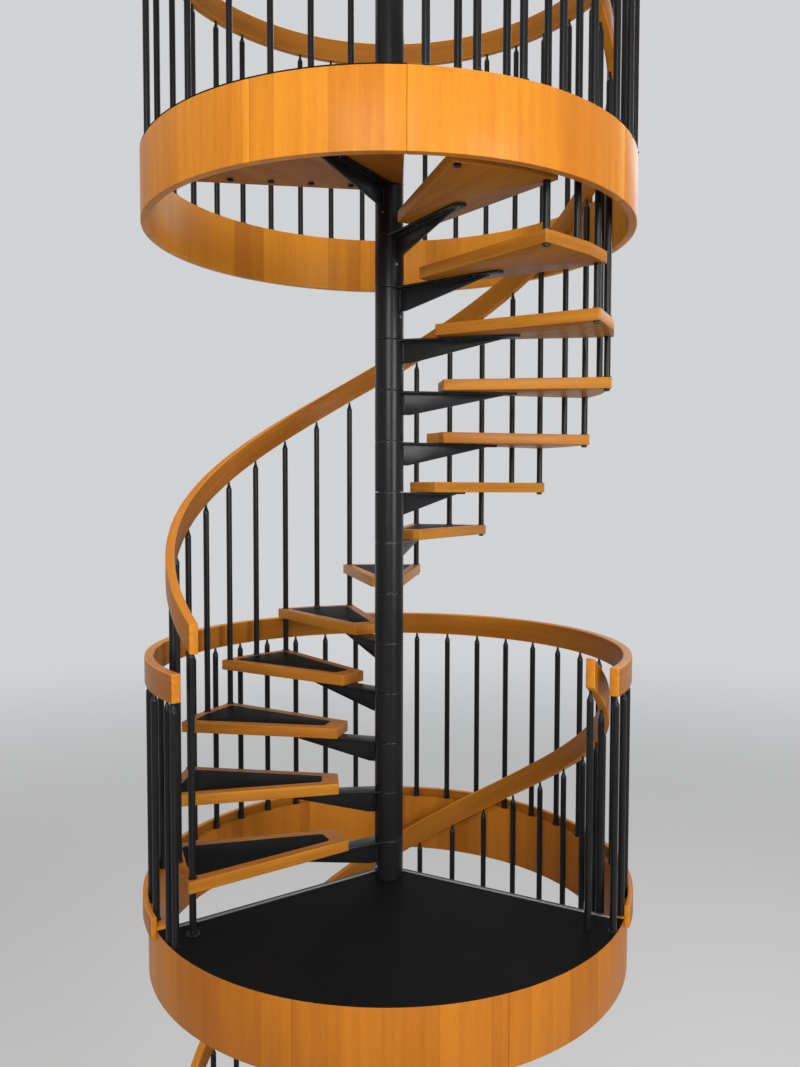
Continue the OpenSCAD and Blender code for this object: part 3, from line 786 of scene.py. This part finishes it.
def bar(path, out, up, width, height, edge, upright_grain=False):
    """A rounded bar along a path: point = path + out * x + up * y for each section point.

    Both ends close with rows whose inset grows from 0 to edge on a quarter circle, and then
    to the middle line."""
    t = np.linspace(0, pi / 2, 4)
    inner = np.concatenate([[min(width, height) / 2], edge * (1 - np.sin(t))])
    shift = np.concatenate([[0], edge * (1 - np.cos(t))])[:, None]
    foot = path[0] + shift * unit(path[1] - path[0])
    head = path[-1] + shift * unit(path[-2] - path[-1])
    line = np.concatenate([foot, path[1:-1], head[::-1]])
    times = np.ones(len(path), int)
    times[[0, -1]] = len(shift)
    out, up = [np.repeat(np.broadcast_to(v, path.shape), times, 0)[:, None] for v in (out, up)]
    inward = np.concatenate([inner, np.zeros(len(path) - 2), inner[::-1]])
    shape, wear = section(width, height, edge, inward)
    points = line[:, None] + out * shape[..., :1] + up * shape[..., 1:]
    full = section(width, height, edge, [0.0])[0][0]
    along, across = walked(line)[:, None], walked(full)[None]
    if upright_grain:
        along, across = full[None, :, 1], along
    ends = (inward > 0) & (inward < edge)
    return Form().grid(
        points, along, across, np.maximum(wear[None], ends[:, None]), shape[..., 0]
    )


def ring_bar(radius, start, end, bottom, top, width, edge, upright_grain=False):
    """A bar bent round the axis: its path is radius * (cos t, sin t) at the middle height."""
    facet, fewest = radians(2.5), 8
    t = np.linspace(start, end, max(fewest, int((end - start) / facet)))
    path = outward(t) * radius + [0, 0, (bottom + top) / 2]
    return bar(path, outward(t), UP, width, top - bottom, edge, upright_grain)


def hexagon(centres, low, size, finish=0):
    """Hexagonal nuts with chamfered corners, standing on low: a revolve with six sides."""
    height, across = size
    r, chamfer = across / sqrt(3), height * 0.16
    profile = mirrored([(0, 0, 0, 0), (r * 0.9, 0, 0, 0.3), (r, 0, chamfer, 1)])
    return turned(centres, low, low + height, profile, 6, finish)


def disc(centres, low, size, sides=24, finish=0):
    """Washers and studs: flat revolved discs with softened edges, standing on low."""
    thickness, diameter = size
    profile = mirrored(softened(diameter / 2, soft=0.0008, wear=1))
    return turned(centres, low, low + thickness, profile, sides, finish)


def sleeve(low, high, size):
    """Open tubes round the axis, revolved, with softened rims."""
    outer, bore, e = size.sleeve / 2, size.bore / 2, 0.0012
    foot = [
        (bore, 0, 0, 0), (outer - e, 0, 0, 0), (outer - e * 0.3, 0, e * 0.3, 1),
        (outer, 0, e, 0.7), (outer, 0, e * 4, 0),
    ]
    return turned((0, 0), low, high, mirrored(foot) + foot[:1], sides=64)


# The staircase's own geometry


def tread_corners(flight, rail):
    """The five corners of a tread, seen from above, its middle along +X."""
    front = rail.lead + flight.front_margin / rail.radius
    heel = rail.lead - flight.step - flight.back_margin / rail.radius
    return np.array([
        [flight.inner, -flight.inner_back],
        polar(rail.radius + flight.back_margin, heel),
        polar(rail.radius + flight.belly_margin, flight.belly_turn),
        polar(rail.radius + flight.front_margin, front),
        [flight.inner, flight.inner_front],
    ])


def recess_corners(flight, rail):
    """The recess for the inlay: the tread's outline moved inwards."""
    margins = [flight.inlay_edge] * 4 + [flight.inlay_inner]
    return inset(tread_corners(flight, rail), margins)


class Flight:
    """One flight of treads with its handrail, from the floor it starts on."""

    def __init__(self, name, base, start, lifts):
        sizes, rail = settings().flight, settings().rail
        number = np.arange(sizes.treads)
        self.name, self.lifts, self.run = name, lifts, rail.run
        self.turns = start - number * sizes.step
        self.tops = base + (1 + number) * sizes.rise
        self.undersides = self.tops - sizes.thickness
        self.front = self.turns + rail.lead
        self.heel = self.turns[-1:] + rail.lead - sizes.step
        self.first = self.front[0] + rail.overrun_low / rail.radius
        self.last = self.heel[0] - rail.overrun_high / rail.radius
        self.nosing = self.front[0] + sizes.front_margin / rail.radius
        self.slope = sizes.rise / sizes.step

    def rail_top(self, turn):
        """Height of the handrail's top: the line of nosings plus the run, its ends lifted.

        With s from 0 to 1 along the rail, the lifts add lift0 * (1 - s)^2 + lift1 * s^2."""
        s = (self.first - turn) / (self.first - self.last)
        nosings = self.tops[0] + self.slope * (self.nosing - turn)
        return nosings + self.run + self.lifts[0] * (1 - s) ** 2 + self.lifts[1] * s**2


def flights():
    """The lower and the upper flight."""
    sizes, rail = settings().flight, settings().rail
    return (
        Flight("lower", FLOORS[0], sizes.lower_start, (0.0, rail.lower_lift)),
        Flight("upper", FLOORS[1], sizes.upper_start, (rail.upper_lift, 0.0)),
    )


class Landing:
    """One landing in its round opening: its floor, its edges and the lining's free top."""

    def __init__(self, name, floor, start, end, lip, ledge):
        self.name, self.floor, self.lip, self.ledge = name, floor, lip, ledge
        self.start, self.end, self.middle = start, end, (start + end) / 2

    def corners(self, radius):
        """Directions in which its edges, a lip outside radial lines, meet a radius.

        Each lies asin(lip / radius) past its edge's own direction."""
        corner = asin(self.lip / radius)
        return self.start - corner, self.end + corner


def landings():
    """The room's landing and the top landing."""
    o = settings().opening
    return (
        Landing("room", FLOORS[1], o.room_start, o.room_end, o.room_lip, o.ledge),
        Landing("top", FLOORS[2], o.top_start, o.top_end, o.top_lip, -o.cover),
    )


def arm(size, span):
    """One arm below z = 0: a tapered plate on an upright web, with weld beads and screws.

    The plate's tip is a half circle, and the web's foot rises from the sleeve to the tip."""
    plate_start, web_start, knee = 0.03, 0.05, 0.026
    tip = span - size.tip / 2
    nose = polar(size.tip / 2, np.linspace(-pi / 2, pi / 2, 17)) + [tip, 0]
    sides = [[plate_start, -size.root / 2]], [[plate_start, size.root / 2]]
    plate = np.concatenate([sides[0], nose, sides[1]])
    form = slab(plate, -size.plate, 0.0, edge=0.0016)
    root, end = size.sleeve / 2, span - size.web_short
    web = np.array([
        [web_start, -size.web_depth],
        [root + knee, -size.web_depth],
        [end, -size.plate],
        [end, -size.plate / 2],
        [web_start, -size.plate / 2],
    ])
    form.join(slab(web, -size.web / 2, size.web / 2, edge=0.0014).moved(UPRIGHT))
    side, seam, corner = size.web / 2 + 0.0012, -size.plate - 0.001, root + 0.0008
    inside, spare, foot = 0.002, 0.010, 0.004
    for y in (-side, side):
        form.join(
            bead([root - inside, y, seam], [end - spare, y, seam]),
            bead([corner, y, -size.plate], [corner, y, foot - size.web_depth]),
        )
    first, sway = 0.24, 0.018
    heads = np.stack([np.linspace(first, tip, 4), [-sway, sway, -sway, 0.0]], -1)
    return form.join(screws(heads, -size.plate, ARM_SCREW))


def bead(start, end):
    """A weld bead between two points, which ripples by a sine along its length."""
    start, end = np.array(start), np.array(end)
    radius, pitch, ripple, phase = 0.0026, 0.006, 0.0004, 2.4
    count = 2 + int(np.linalg.norm(end - start) / pitch)
    path = np.linspace(start, end, count)
    path[1:-1, 2] += ripple * np.sin(np.arange(count - 2) * phase)
    out = np.array([0.0, 1.0, 0.0])
    up = unit(np.cross(end - start, out))
    return bar(path, out, up, radius * 2, radius * 2, radius * 0.8)


def screws(centres, height, diameter):
    """Plated screw heads that face down from height: revolves, each with a round recess."""
    r = diameter / 2
    profile = [
        (0, 0, 0.0009, 0), (r * 0.42, 0, 0.0009, 0), (r * 0.42, 0, -0.0007, 0),
        (r * 0.8, 0, -0.0006, 0), (r, 0, 0.0002, 0), (r, 0, 0.001, 0), (0, 0, 0.001, 0),
    ]
    return turned(centres, height, height, profile, 16, finish=1)


def grub_screws(turns, heights, radius):
    """Plated socket screws set flush into the column, one per angle and height."""
    socket, face, rim = 0.0022, 0.0048, 0.0052
    head = [
        (0, 0, -0.0016, 0), (socket, 0, -0.0016, 0), (socket, 0, 0.0003, 0),
        (face, 0, 0.0004, 0), (rim, 0, -0.0004, 0), (0, 0, -0.002, 0),
    ]
    form = turned((0, 0), 0.0, 0.0, head, 16, finish=1)
    return form.moved(SIDEWAYS, (radius, 0, 0)).copies(turns, heights)


def rods(rail, centres, low, high):
    """Balusters: a revolved bar, cone and pin, with a thin washer on what it stands on."""
    r, pin, soft, tip, fade = rail.baluster / 2, rail.pin / 2, 0.0008, 0.010, 0.012
    cone = -rail.cone - tip
    profile = softened(r, soft, 0.4) + [
        (r, 0, fade, 0), (r, 1, cone - fade, 0), (r, 1, cone - soft, 0.3),
        (r - soft, 1, cone + soft, 0.8), (r - 3 * soft, 1, cone + 4 * soft, 0),
        (pin, 1, -tip, 0), (pin, 1, 0, 0), (0, 1, 0, 0),
    ]
    form = turned(centres, low, high, profile, sides=20)
    return form.join(disc(centres, low, FOOT_WASHER, sides=20))


def nuts(centres, top):
    """Washer, nut and stud end under a board whose underside is at top."""
    nut, shown = top - WASHER[0] - SLIT - NUT[0], 0.001
    return disc(centres, top - WASHER[0], WASHER, sides=20).join(
        hexagon(centres, nut, NUT), disc(centres, nut - shown, STUD, sides=14)
    )


def paint(finish, *nodes):
    """Gives CAD nodes that keep their shape their finish."""
    for node in nodes:
        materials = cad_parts[node].data.materials
        materials.clear()
        materials.append(bpy.data.materials[finish])


def settings():
    """The scene's staircase settings."""
    return bpy.context.scene.staircase


# Operators


class FinishesOperator(bpy.types.Operator):
    """Makes the materials of the staircase."""

    bl_idname = "staircase.finishes"
    bl_label = "Finishes"

    def execute(self, context):
        finish, (room, top) = settings().finish, landings()
        wood("Beech edge", finish, "beech")
        # Rails, curb and top lining: their lighter colours are painted light
        wood("Beech rail", finish, "rail", laminated=True)
        wood("Beech veneer", finish, "veneer")
        wood("Beech lining", finish, "rail", leaf=finish.leaf)
        # Room lining: its darker colours are painted shade
        wood("Beech room lining", finish, "lining", leaf=finish.leaf)
        wood("Beech room deck", finish, "veneer", turn=room.middle)
        wood("Beech top deck", finish, "veneer", turn=top.middle)
        black_steel("Black steel", finish)
        black_covering("Black covering", finish)
        ribbed_strip("Edge strip", finish)
        bare_steel("Plated screws", finish.plated, 0.24)
        bare_steel("Post steel", finish.post, 0.34)
        return {"FINISHED"}


class TreadsOperator(bpy.types.Operator):
    """Builds the beech treads with their rounded edges and the recess for the inlay."""

    bl_idname = "staircase.treads"
    bl_label = "Treads"

    def execute(self, context):
        f, rail = settings().flight, settings().rail
        outline = rounded(tread_corners(f, rail), f.corner, 5)
        recess = rounded(recess_corners(f, rail), f.inlay_corner)
        board = slab(
            outline, 0.0, f.thickness, f.edge, face=1, hollow=recess, depth=f.inlay_depth
        )
        nodes = {
            "lower": ["lower_treads"],
            "upper": [f"upper_tread_{n + 1}" for n in range(f.treads)],
        }
        finishes = ["Beech edge", "Beech veneer"]
        for flight in flights():
            boards = board.copies(flight.turns, flight.undersides)
            boards.piece(f"{flight.name}_tread_boards", finishes, "beech", *nodes[flight.name])
        return {"FINISHED"}


class InlaysOperator(bpy.types.Operator):
    """Lays the black inlays into the treads and finishes the landings' covering."""

    bl_idname = "staircase.inlays"
    bl_label = "Inlays"

    def execute(self, context):
        f, rail = settings().flight, settings().rail
        outline = rounded(inset(recess_corners(f, rail), FIT), f.inlay_corner - FIT)
        sheet = slab(outline, f.thickness - f.inlay_depth, f.thickness, edge=0.0007)
        for flight in flights():
            sheets, name = sheet.copies(flight.turns, flight.undersides), flight.name
            sheets.piece(
                f"{name}_tread_inlays", ["Black covering"], "tread_inlay", f"{name}_inlays"
            )
        paint("Black covering", "room_cover", "top_cover")
        return {"FINISHED"}


class BracketsOperator(bpy.types.Operator):
    """Stacks the sleeves with their welded arms on the post."""

    bl_idname = "staircase.brackets"
    bl_label = "Brackets"

    def execute(self, context):
        f, c = settings().flight, settings().column
        finishes = ["Black steel", "Plated screws"]
        short_arm, long_arm = arm(c, c.arm), arm(c, c.landing_arm)
        height = f.rise - c.groove
        for flight in flights():
            name, turns, tops = flight.name, flight.turns, flight.undersides
            lows = np.maximum(tops - height, c.flange_thickness + c.collar + c.groove)
            form = short_arm.copies(turns, tops).join(sleeve(lows, tops, c))
            full = tops - c.screw_drop > lows
            form.join(grub_screws(turns[full], tops[full] - c.screw_drop, c.sleeve / 2))
            form.piece(f"{name}_tread_brackets", finishes, "black_steel", f"{name}_brackets")
        room, top = landings()
        for landing, name, turns in (
            (room, "room_landing_arms", room.middle + c.landing_arm_step * np.arange(-1, 2)),
            (top, "top_landing_arm", top.end - c.top_arm_turn),
        ):
            under = landing.floor - f.thickness
            form = long_arm.copies(turns, under).join(sleeve(under - height, under, c))
            form.join(grub_screws(turns, under - c.screw_drop, c.sleeve / 2))
            form.piece(name, finishes, "black_steel", f"{landing.name}_landing_bracket")
        return {"FINISHED"}


class ColumnOperator(bpy.types.Operator):
    """Builds the column's base with its bolts, and its head with the domed cap."""

    bl_idname = "staircase.column"
    bl_label = "Column"

    def execute(self, context):
        s = settings()
        c, floor = s.column, FLOORS[2]
        finishes = ["Black steel", "Plated screws"]
        paint("Post steel", "centre_post")
        top, r = floor + c.head - c.cap, c.sleeve / 2
        screw_turn, screw_drop, rim, soft = radians(-70), 0.030, 0.006, 0.001
        head = sleeve(floor - s.flight.thickness + c.groove, top, c)
        head.join(grub_screws(screw_turn, top - screw_drop, r))
        head.piece("column_head", finishes, "black_steel", "head_sleeve")
        dome = [(0, 0, 0, 0), (r - soft, 0, 0, 0.4), (r, 0, soft, 0.8)]
        for t in np.linspace(0, pi / 2, 13):
            dome.append((r * cos(t), 0, rim + (c.cap - rim) * sin(t), 0.15))
        cap = turned((0, 0), top, top, dome, sides=64)
        cap.piece("column_cap", finishes[:1], "black_steel", "head_cap", sharp=50)
        self.base(c, finishes)
        return {"FINISHED"}

    def base(self, c, finishes):
        """A bolted flange, the collar, its gussets and the bolts' washers, nuts and ends."""
        thick, e = c.flange_thickness, 0.0025
        r, collar = c.flange / 2, c.sleeve / 2
        plate = softened(r, e, 0.8) + [
            (r, 1, -e, 0.8), (r - e, 1, 0, 0.5), (r - 3 * e, 1, 0, 0), (0, 1, 0, 0),
        ]
        form = turned((0, 0), 0.0, thick, plate, sides=96)
        form.join(sleeve(thick, thick + c.collar, c))
        sunk, short, toe, crown, half = 0.002, 0.010, 0.006, 0.012, 0.004
        crest = thick + c.collar - toe
        gusset = np.array([
            [collar - sunk, thick - sunk],
            [r - short, thick - sunk],
            [r - short, thick + toe],
            [collar + crown, crest],
            [collar - sunk, crest],
        ])
        web = slab(gusset, -half, half, edge=0.0012).moved(UPRIGHT)
        turns = np.arange(c.bolts) * 2 * pi / c.bolts
        centres = polar(c.bolt_circle / 2, turns)
        nut, overlap, lift = thick + BASE_WASHER[0] + SLIT, 0.0006, 0.001
        form.join(
            web.copies(turns + pi / c.bolts, 0),
            disc(centres, thick, BASE_WASHER, finish=1),
            hexagon(centres, nut, BASE_NUT, finish=1),
            disc(centres, nut + BASE_NUT[0] - overlap, BASE_STUD, sides=18, finish=1),
            disc(centres, lift, BASE_SHANK, sides=18, finish=1),
        )
        form.piece("bolted_base", finishes, "black_steel", "base_flange")


class BalustersOperator(bpy.types.Operator):
    """Stands the stair's balusters through the treads, with washers and nuts below."""

    bl_idname = "staircase.balusters"
    bl_label = "Balusters"

    def execute(self, context):
        f, r = settings().flight, settings().rail
        drop = r.height + r.pin * f.rise / (2 * r.radius * f.step) + FIT
        for flight in flights():
            name, front, heel = flight.name, flight.front, flight.heel
            turns = np.concatenate([front, front - f.step / 2, heel])
            lows = np.concatenate([flight.tops - f.rise, flight.tops, flight.tops[-1:]])
            form = rods(r, polar(r.radius, turns), lows, flight.rail_top(turns) - drop)
            corners, back = polar(r.radius, front), polar(r.radius, heel)
            form.join(
                disc(corners, flight.tops, COLLAR_RING, sides=20),
                nuts(corners[1:], flight.undersides[:-1]),
                nuts(back, flight.undersides[-1:]),
                disc(corners[:1], flight.tops[:1] - f.rise, FIRST_FOOT),
            )
            form.piece(f"{name}_rods", ["Black steel"], "black_steel", f"{name}_balusters")
        return {"FINISHED"}


class HandrailsOperator(bpy.types.Operator):
    """Bends the laminated beech handrails along the helix of each flight."""

    bl_idname = "staircase.handrails"
    bl_label = "Handrails"

    def execute(self, context):
        r, steps = settings().rail, 180
        for flight in flights():
            t = np.linspace(flight.first, flight.last, steps + 1)
            path = outward(t) * (r.radius + r.shift)
            path[:, 2] = flight.rail_top(t) - r.height / 2
            rail = bar(path, outward(t), UP, r.thickness, r.height, r.round)
            rail.piece(
                f"{flight.name}_rail", ["Beech rail"], "beech", f"{flight.name}_handrail"
            )
        return {"FINISHED"}


class GuardsOperator(bpy.types.Operator):
    """Builds the level guards round both openings and the straight guard at the top."""

    bl_idname = "staircase.guards"
    bl_label = "Guards"

    def execute(self, context):
        # metre is the turn that one metre along the guard's line makes
        r, (room, top), full = settings().rail, landings(), 2 * pi
        radius, metre = r.guard_radius, 1 / r.guard_radius
        (room_start, room_end), (top_start, top_end) = room.corners(radius), top.corners(radius)
        room_ends = room_end - r.over_start * metre, room_start + full + r.over_end * metre
        top_ends = top_end, top.start + full + r.thickness * metre
        end, clear = r.guard_end * metre, (r.baluster / 2 + FIT) * metre
        turns = self.spaced(r, room_ends, r.room_first)
        room_turns = np.concatenate([[room_ends[0] + end], turns, [room_ends[1] - end]])
        top_turns = self.spaced(r, top_ends, r.top_first)
        on_ledge = (room_turns > room_end - clear) & (room_turns < room_start + full + clear)
        on_lining = (top_turns > top_end + clear) & (top_turns < top_start + full - clear)
        for landing, ends, turns, raised in (
            (room, room_ends, room_turns, on_ledge),
            (top, top_ends, top_turns, on_lining),
        ):
            name, high = landing.name, landing.floor + r.guard_top
            under, low = high - r.guard_height, landing.floor + raised * landing.ledge
            ring = ring_bar(radius, *ends, under, high, r.thickness, r.round)
            ring.piece(f"{name}_ring_rail", ["Beech rail"], "beech", f"{name}_guard_rail")
            uprights = rods(r, polar(radius, turns), low, under)
            node = f"{name}_guard_balusters"
            uprights.piece(f"{name}_ring_rods", ["Black steel"], "black_steel", node)
        self.end_guard(top)
        return {"FINISHED"}

    def spaced(self, rail, ends, first):
        """Turns of the balusters a pitch apart, up to 1.5 balusters short of the last one."""
        walk = first, -rail.guard_end - 1.5 * rail.baluster, rail.guard_pitch
        start, stop, pitch = np.array(walk) / rail.guard_radius
        return np.arange(ends[0] + start, ends[1] + stop, pitch)

    def end_guard(self, landing):
        """The straight rail from the column's head to the ring, on its own balusters."""
        s = settings()
        r, floor, turn = s.rail, landing.floor, landing.start
        inner, outer = s.column.sleeve / 2 + FIT, r.guard_radius - r.thickness / 2 - FIT
        path = np.linspace(inner, outer, 12)[:, None] * outward(turn)
        path[:, 2] = floor + r.guard_top - r.guard_height / 2
        side = np.cross(outward(turn), UP)
        rail = bar(path, side, UP, r.thickness, r.guard_height, r.round)
        rail.piece("end_rail", ["Beech rail"], "beech", "end_guard_rail")
        distances = np.arange(r.end_first, r.guard_radius - r.end_pitch / 2, r.end_pitch)
        centres = polar(distances, turn)
        form = rods(r, centres, floor, floor + r.guard_top - r.guard_height)
        form.join(nuts(centres, floor - s.flight.thickness))
        form.piece("end_rods", ["Black steel"], "black_steel", "end_guard_balusters")


class OpeningsOperator(bpy.types.Operator):
    """Lines both floor openings and finishes the landings and their edge strips."""

    bl_idname = "staircase.openings"
    bl_label = "Openings"

    def execute(self, context):
        s = settings()
        o, rim = s.opening, s.opening.lining + s.opening.lining_thickness
        room, top = landings()
        # The room's lining takes the material whose darker colours are painted shade
        for landing, finish in (room, "Beech room lining"), (top, "Beech lining"):
            name, floor, (first, last) = landing.name, landing.floor, landing.corners(rim)
            form = self.panels(o, first, last, 3, floor, -o.cover)
            form.join(self.panels(o, last, first + 2 * pi, 5, floor, landing.ledge))
            form.piece(f"{name}_lining", [finish], "beech", f"{name}_fascia")
        inner = rim + FIT
        start, end = room.corners(inner)
        low, high = room.floor - o.curb_drop, room.floor + o.curb_top
        curb = ring_bar(
            inner + o.curb / 2, end, start + 2 * pi, low, high, o.curb, edge=0.003
        )
        curb.piece("room_upstand", ["Beech rail"], "beech", "room_curb")
        paint("Beech room deck", "room_deck")
        paint("Beech top deck", "top_deck")
        finishes = ["Edge strip", "Plated screws"]
        for landing, edges, name, node in (
            (room, ((room.start, -1), (room.end, 1)), "room_strips", "room_nosings"),
            (top, ((top.end, 1),), "top_strip", "top_nosing"),
        ):
            form = Form()
            strip = edge_strip(o, s.column.sleeve / 2, landing.lip)
            for turn, side in edges:
                sided = strip.moved(np.diag([1, side, 1]), (0, side * landing.lip, 0))
                form.join(sided.copies(turn, landing.floor))
            form.piece(name, finishes, "edge_strip", node)
        return {"FINISHED"}

    def panels(self, o, start, end, count, floor, top):
        """So many bent panels from start to end, with an open joint between two of them.

        Their wood map starts at count, which sets the two runs of one lining apart."""
        form, gap = Form(), o.joint / o.lining / 2
        edges = np.linspace(start, end, count + 1)
        for i in range(count):
            panel = ring_bar(
                o.lining + o.lining_thickness / 2, edges[i] + gap, edges[i + 1] - gap,
                floor - o.lining_depth, floor + top, o.lining_thickness, edge=0.0015,
                upright_grain=True,
            )
            form.join(panel.regrained(count + i * PANEL_SHIFT[0], i * PANEL_SHIFT[1]))
        return form


def edge_strip(opening, sleeve_radius, lip):
    """An angle strip along +X, its outer corner on y = 0 and z = 0, grooved and screwed down.

    Its rows carry one L-shaped profile: the middle ones with grooves, the next ones flat,
    and the last ones drawn together in the corner, which closes the ends. The wear
    attribute is 1 on the black insert round the nose."""
    t, w, soft, groove, margin = opening.strip_thickness, opening.strip, 0.0005, 0.0007, 0.004
    ribs = -w * np.array([0.90, 0.80, 0.30, 0.20, 0.10])
    lines = (ribs[:, None] + groove * np.array([-1, -0.5, 0.5, 1])).ravel()
    dips = np.tile([0, groove, groove, 0], len(ribs))
    # The insert starts between two points that lie close together after the second groove
    land, dips = np.insert(lines, 8, [-0.401 * w, -0.400 * w]), np.insert(dips, 8, [0, 0])
    nose, r = np.linspace(0, pi / 2, 5), t * 0.6
    y = [-w, -w, soft - w, *land, *(t - r + r * np.sin(nose)), t, t - soft, 0, 0]
    z = [0, t - soft, t, *(t + 0 * land), *(t - r + r * np.cos(nose)), soft - w, -w, -w, 0]
    flat = np.stack([y, z], -1)
    cut = flat.copy()
    ahead, split = 3, 9  # points ahead of the land, and points of the land off the insert
    cut[ahead : ahead + land.size, 1] -= dips
    insert = np.arange(len(flat) + 1) >= ahead + split
    insert[-2:] = False
    corner = np.full_like(flat, t / 2)
    start = sqrt(max(0, (sleeve_radius + t) ** 2 - (lip - w) ** 2))
    end = sqrt(opening.lining**2 - (lip + t) ** 2) - t
    walk = np.array([0, 0, margin, margin + groove])
    rows = np.stack([corner, flat, flat, cut, cut, flat, flat, corner])
    points = np.roll(lifted(rows, [*(start + walk), *(end - walk[::-1])]), 1, -1)
    form = Form().grid(closed(points), 0.0, 0.0, insert * 1.0)
    first, spare, pitch, line = 0.06, 0.03, 0.15, w * 0.61
    spots = np.arange(start + first, end - spare, pitch)
    heads = screws(np.stack([spots, 0 * spots + line], -1), 0.0, STRIP_SCREW)
    return form.join(heads.moved(np.diag([1, -1, -1]), (0, 0, t)))


class StageOperator(bpy.types.Operator):
    """Sets the floor, the studio lights and the camera."""

    bl_idname = "staircase.stage"
    bl_label = "Stage"

    def execute(self, context):
        stage = settings().stage
        scene = context.scene
        radius, sides, sunk = 60.0, 64, 0.0005
        rim = polar(radius, np.linspace(0, 2 * pi, sides, endpoint=False))
        mesh = bpy.data.meshes.new("floor")
        mesh.from_pydata(lifted(rim[None], -sunk)[0], [], [list(range(sides))])
        mesh.materials.append(pale_floor("Pale floor", stage))
        floor = bpy.data.objects.new("floor", mesh)
        scene.collection.objects.link(floor)
        world = bpy.data.worlds.new("Studio")
        world.use_nodes = True
        background = world.node_tree.nodes["Background"]
        background.inputs["Color"].default_value = (*stage.sky, 1)
        background.inputs["Strength"].default_value = stage.sky_strength
        scene.world = world
        for name, place, size, power, tint in (
            ("key", (-0.7, -7.4, 6.6), 3.6, stage.key, (1.0, 0.97, 0.92)),
            ("fill", (5.4, -6.2, 5.4), 3.4, stage.fill, (0.97, 0.98, 1.0)),
            ("rim", (3.6, 6.2, 8.0), 4.0, stage.rim, (0.95, 0.97, 1.0)),
            ("top", (-0.4, 0.6, 10.8), 4.0, stage.top, (1.0, 1.0, 1.0)),
        ):
            self.light(scene, name, place, size, power, tint)
        self.camera(scene, stage)
        scene.view_settings.view_transform = "Standard"
        return {"FINISHED"}

    def light(self, scene, name, place, size, power, tint):
        """A soft square light at a place, turned to the middle of the column."""
        aim = (0.0, 0.0, 3.8)
        lamp = bpy.data.lights.new(name, "AREA")
        lamp.size, lamp.energy, lamp.color = size, power, tint
        light = bpy.data.objects.new(name, lamp)
        light.matrix_world = aimed(place, np.subtract(aim, place))
        scene.collection.objects.link(light)

    def camera(self, scene, stage):
        """The photograph's own viewpoint, looking along +Y."""
        camera = bpy.data.objects.new("camera", bpy.data.cameras.new("camera"))
        camera.data.lens = stage.focal
        camera.data.sensor_width = SENSOR
        way = (
            sin(stage.turn) * cos(stage.pitch),
            cos(stage.turn) * cos(stage.pitch),
            -sin(stage.pitch),
        )
        camera.matrix_world = aimed(stage.eye, way, stage.roll)
        scene.collection.objects.link(camera)
        scene.camera = camera


def aimed(place, way, roll=0.0):
    """A matrix at place whose -Z looks along way, its +Y up, turned by roll."""
    back = -unit(np.asarray(way, float))
    right = unit(np.cross(UP, back))
    up = np.cross(back, right)
    right, up = right * cos(roll) + up * sin(roll), up * cos(roll) - right * sin(roll)
    matrix = np.eye(4)
    matrix[:3] = np.stack([right, up, back, place], -1)
    return Matrix(matrix.tolist())


class StaircasePanel(bpy.types.Panel):
    """Lists the staircase's pieces and settings."""

    bl_idname = "VIEW3D_PT_staircase"
    bl_label = "Spiral Staircase"
    bl_space_type = "VIEW_3D"
    bl_region_type = "UI"
    bl_category = "Staircase"

    def draw(self, context):
        for operator in OPERATORS:
            self.layout.operator(operator.bl_idname)
        for group in StaircaseSettings.__annotations__:
            values = getattr(context.scene.staircase, group)
            box = self.layout.box()
            box.label(text=group.capitalize())
            for name in values.__annotations__:
                box.prop(values, name)


OPERATORS = (
    FinishesOperator,
    TreadsOperator,
    InlaysOperator,
    BracketsOperator,
    ColumnOperator,
    BalustersOperator,
    HandrailsOperator,
    GuardsOperator,
    OpeningsOperator,
    StageOperator,
)
CLASSES = (
    FlightSizes,
    ColumnSizes,
    RailSizes,
    OpeningSizes,
    Finishes,
    StageSettings,
    StaircaseSettings,
    *OPERATORS,
    StaircasePanel,
)


def register():
    for kind in CLASSES:
        bpy.utils.register_class(kind)
    bpy.types.Scene.staircase = group(
        StaircaseSettings, "Staircase", "Settings of the staircase"
    )


def unregister():
    del bpy.types.Scene.staircase
    for kind in reversed(CLASSES):
        bpy.utils.unregister_class(kind)


def main():
    register()
    steps = bpy.ops.staircase
    steps.finishes()
    steps.treads()
    steps.inlays()
    steps.brackets()
    steps.column()
    steps.balusters()
    steps.handrails()
    steps.guards()
    steps.openings()
    steps.stage()


if __name__ == "__main__":
    main()
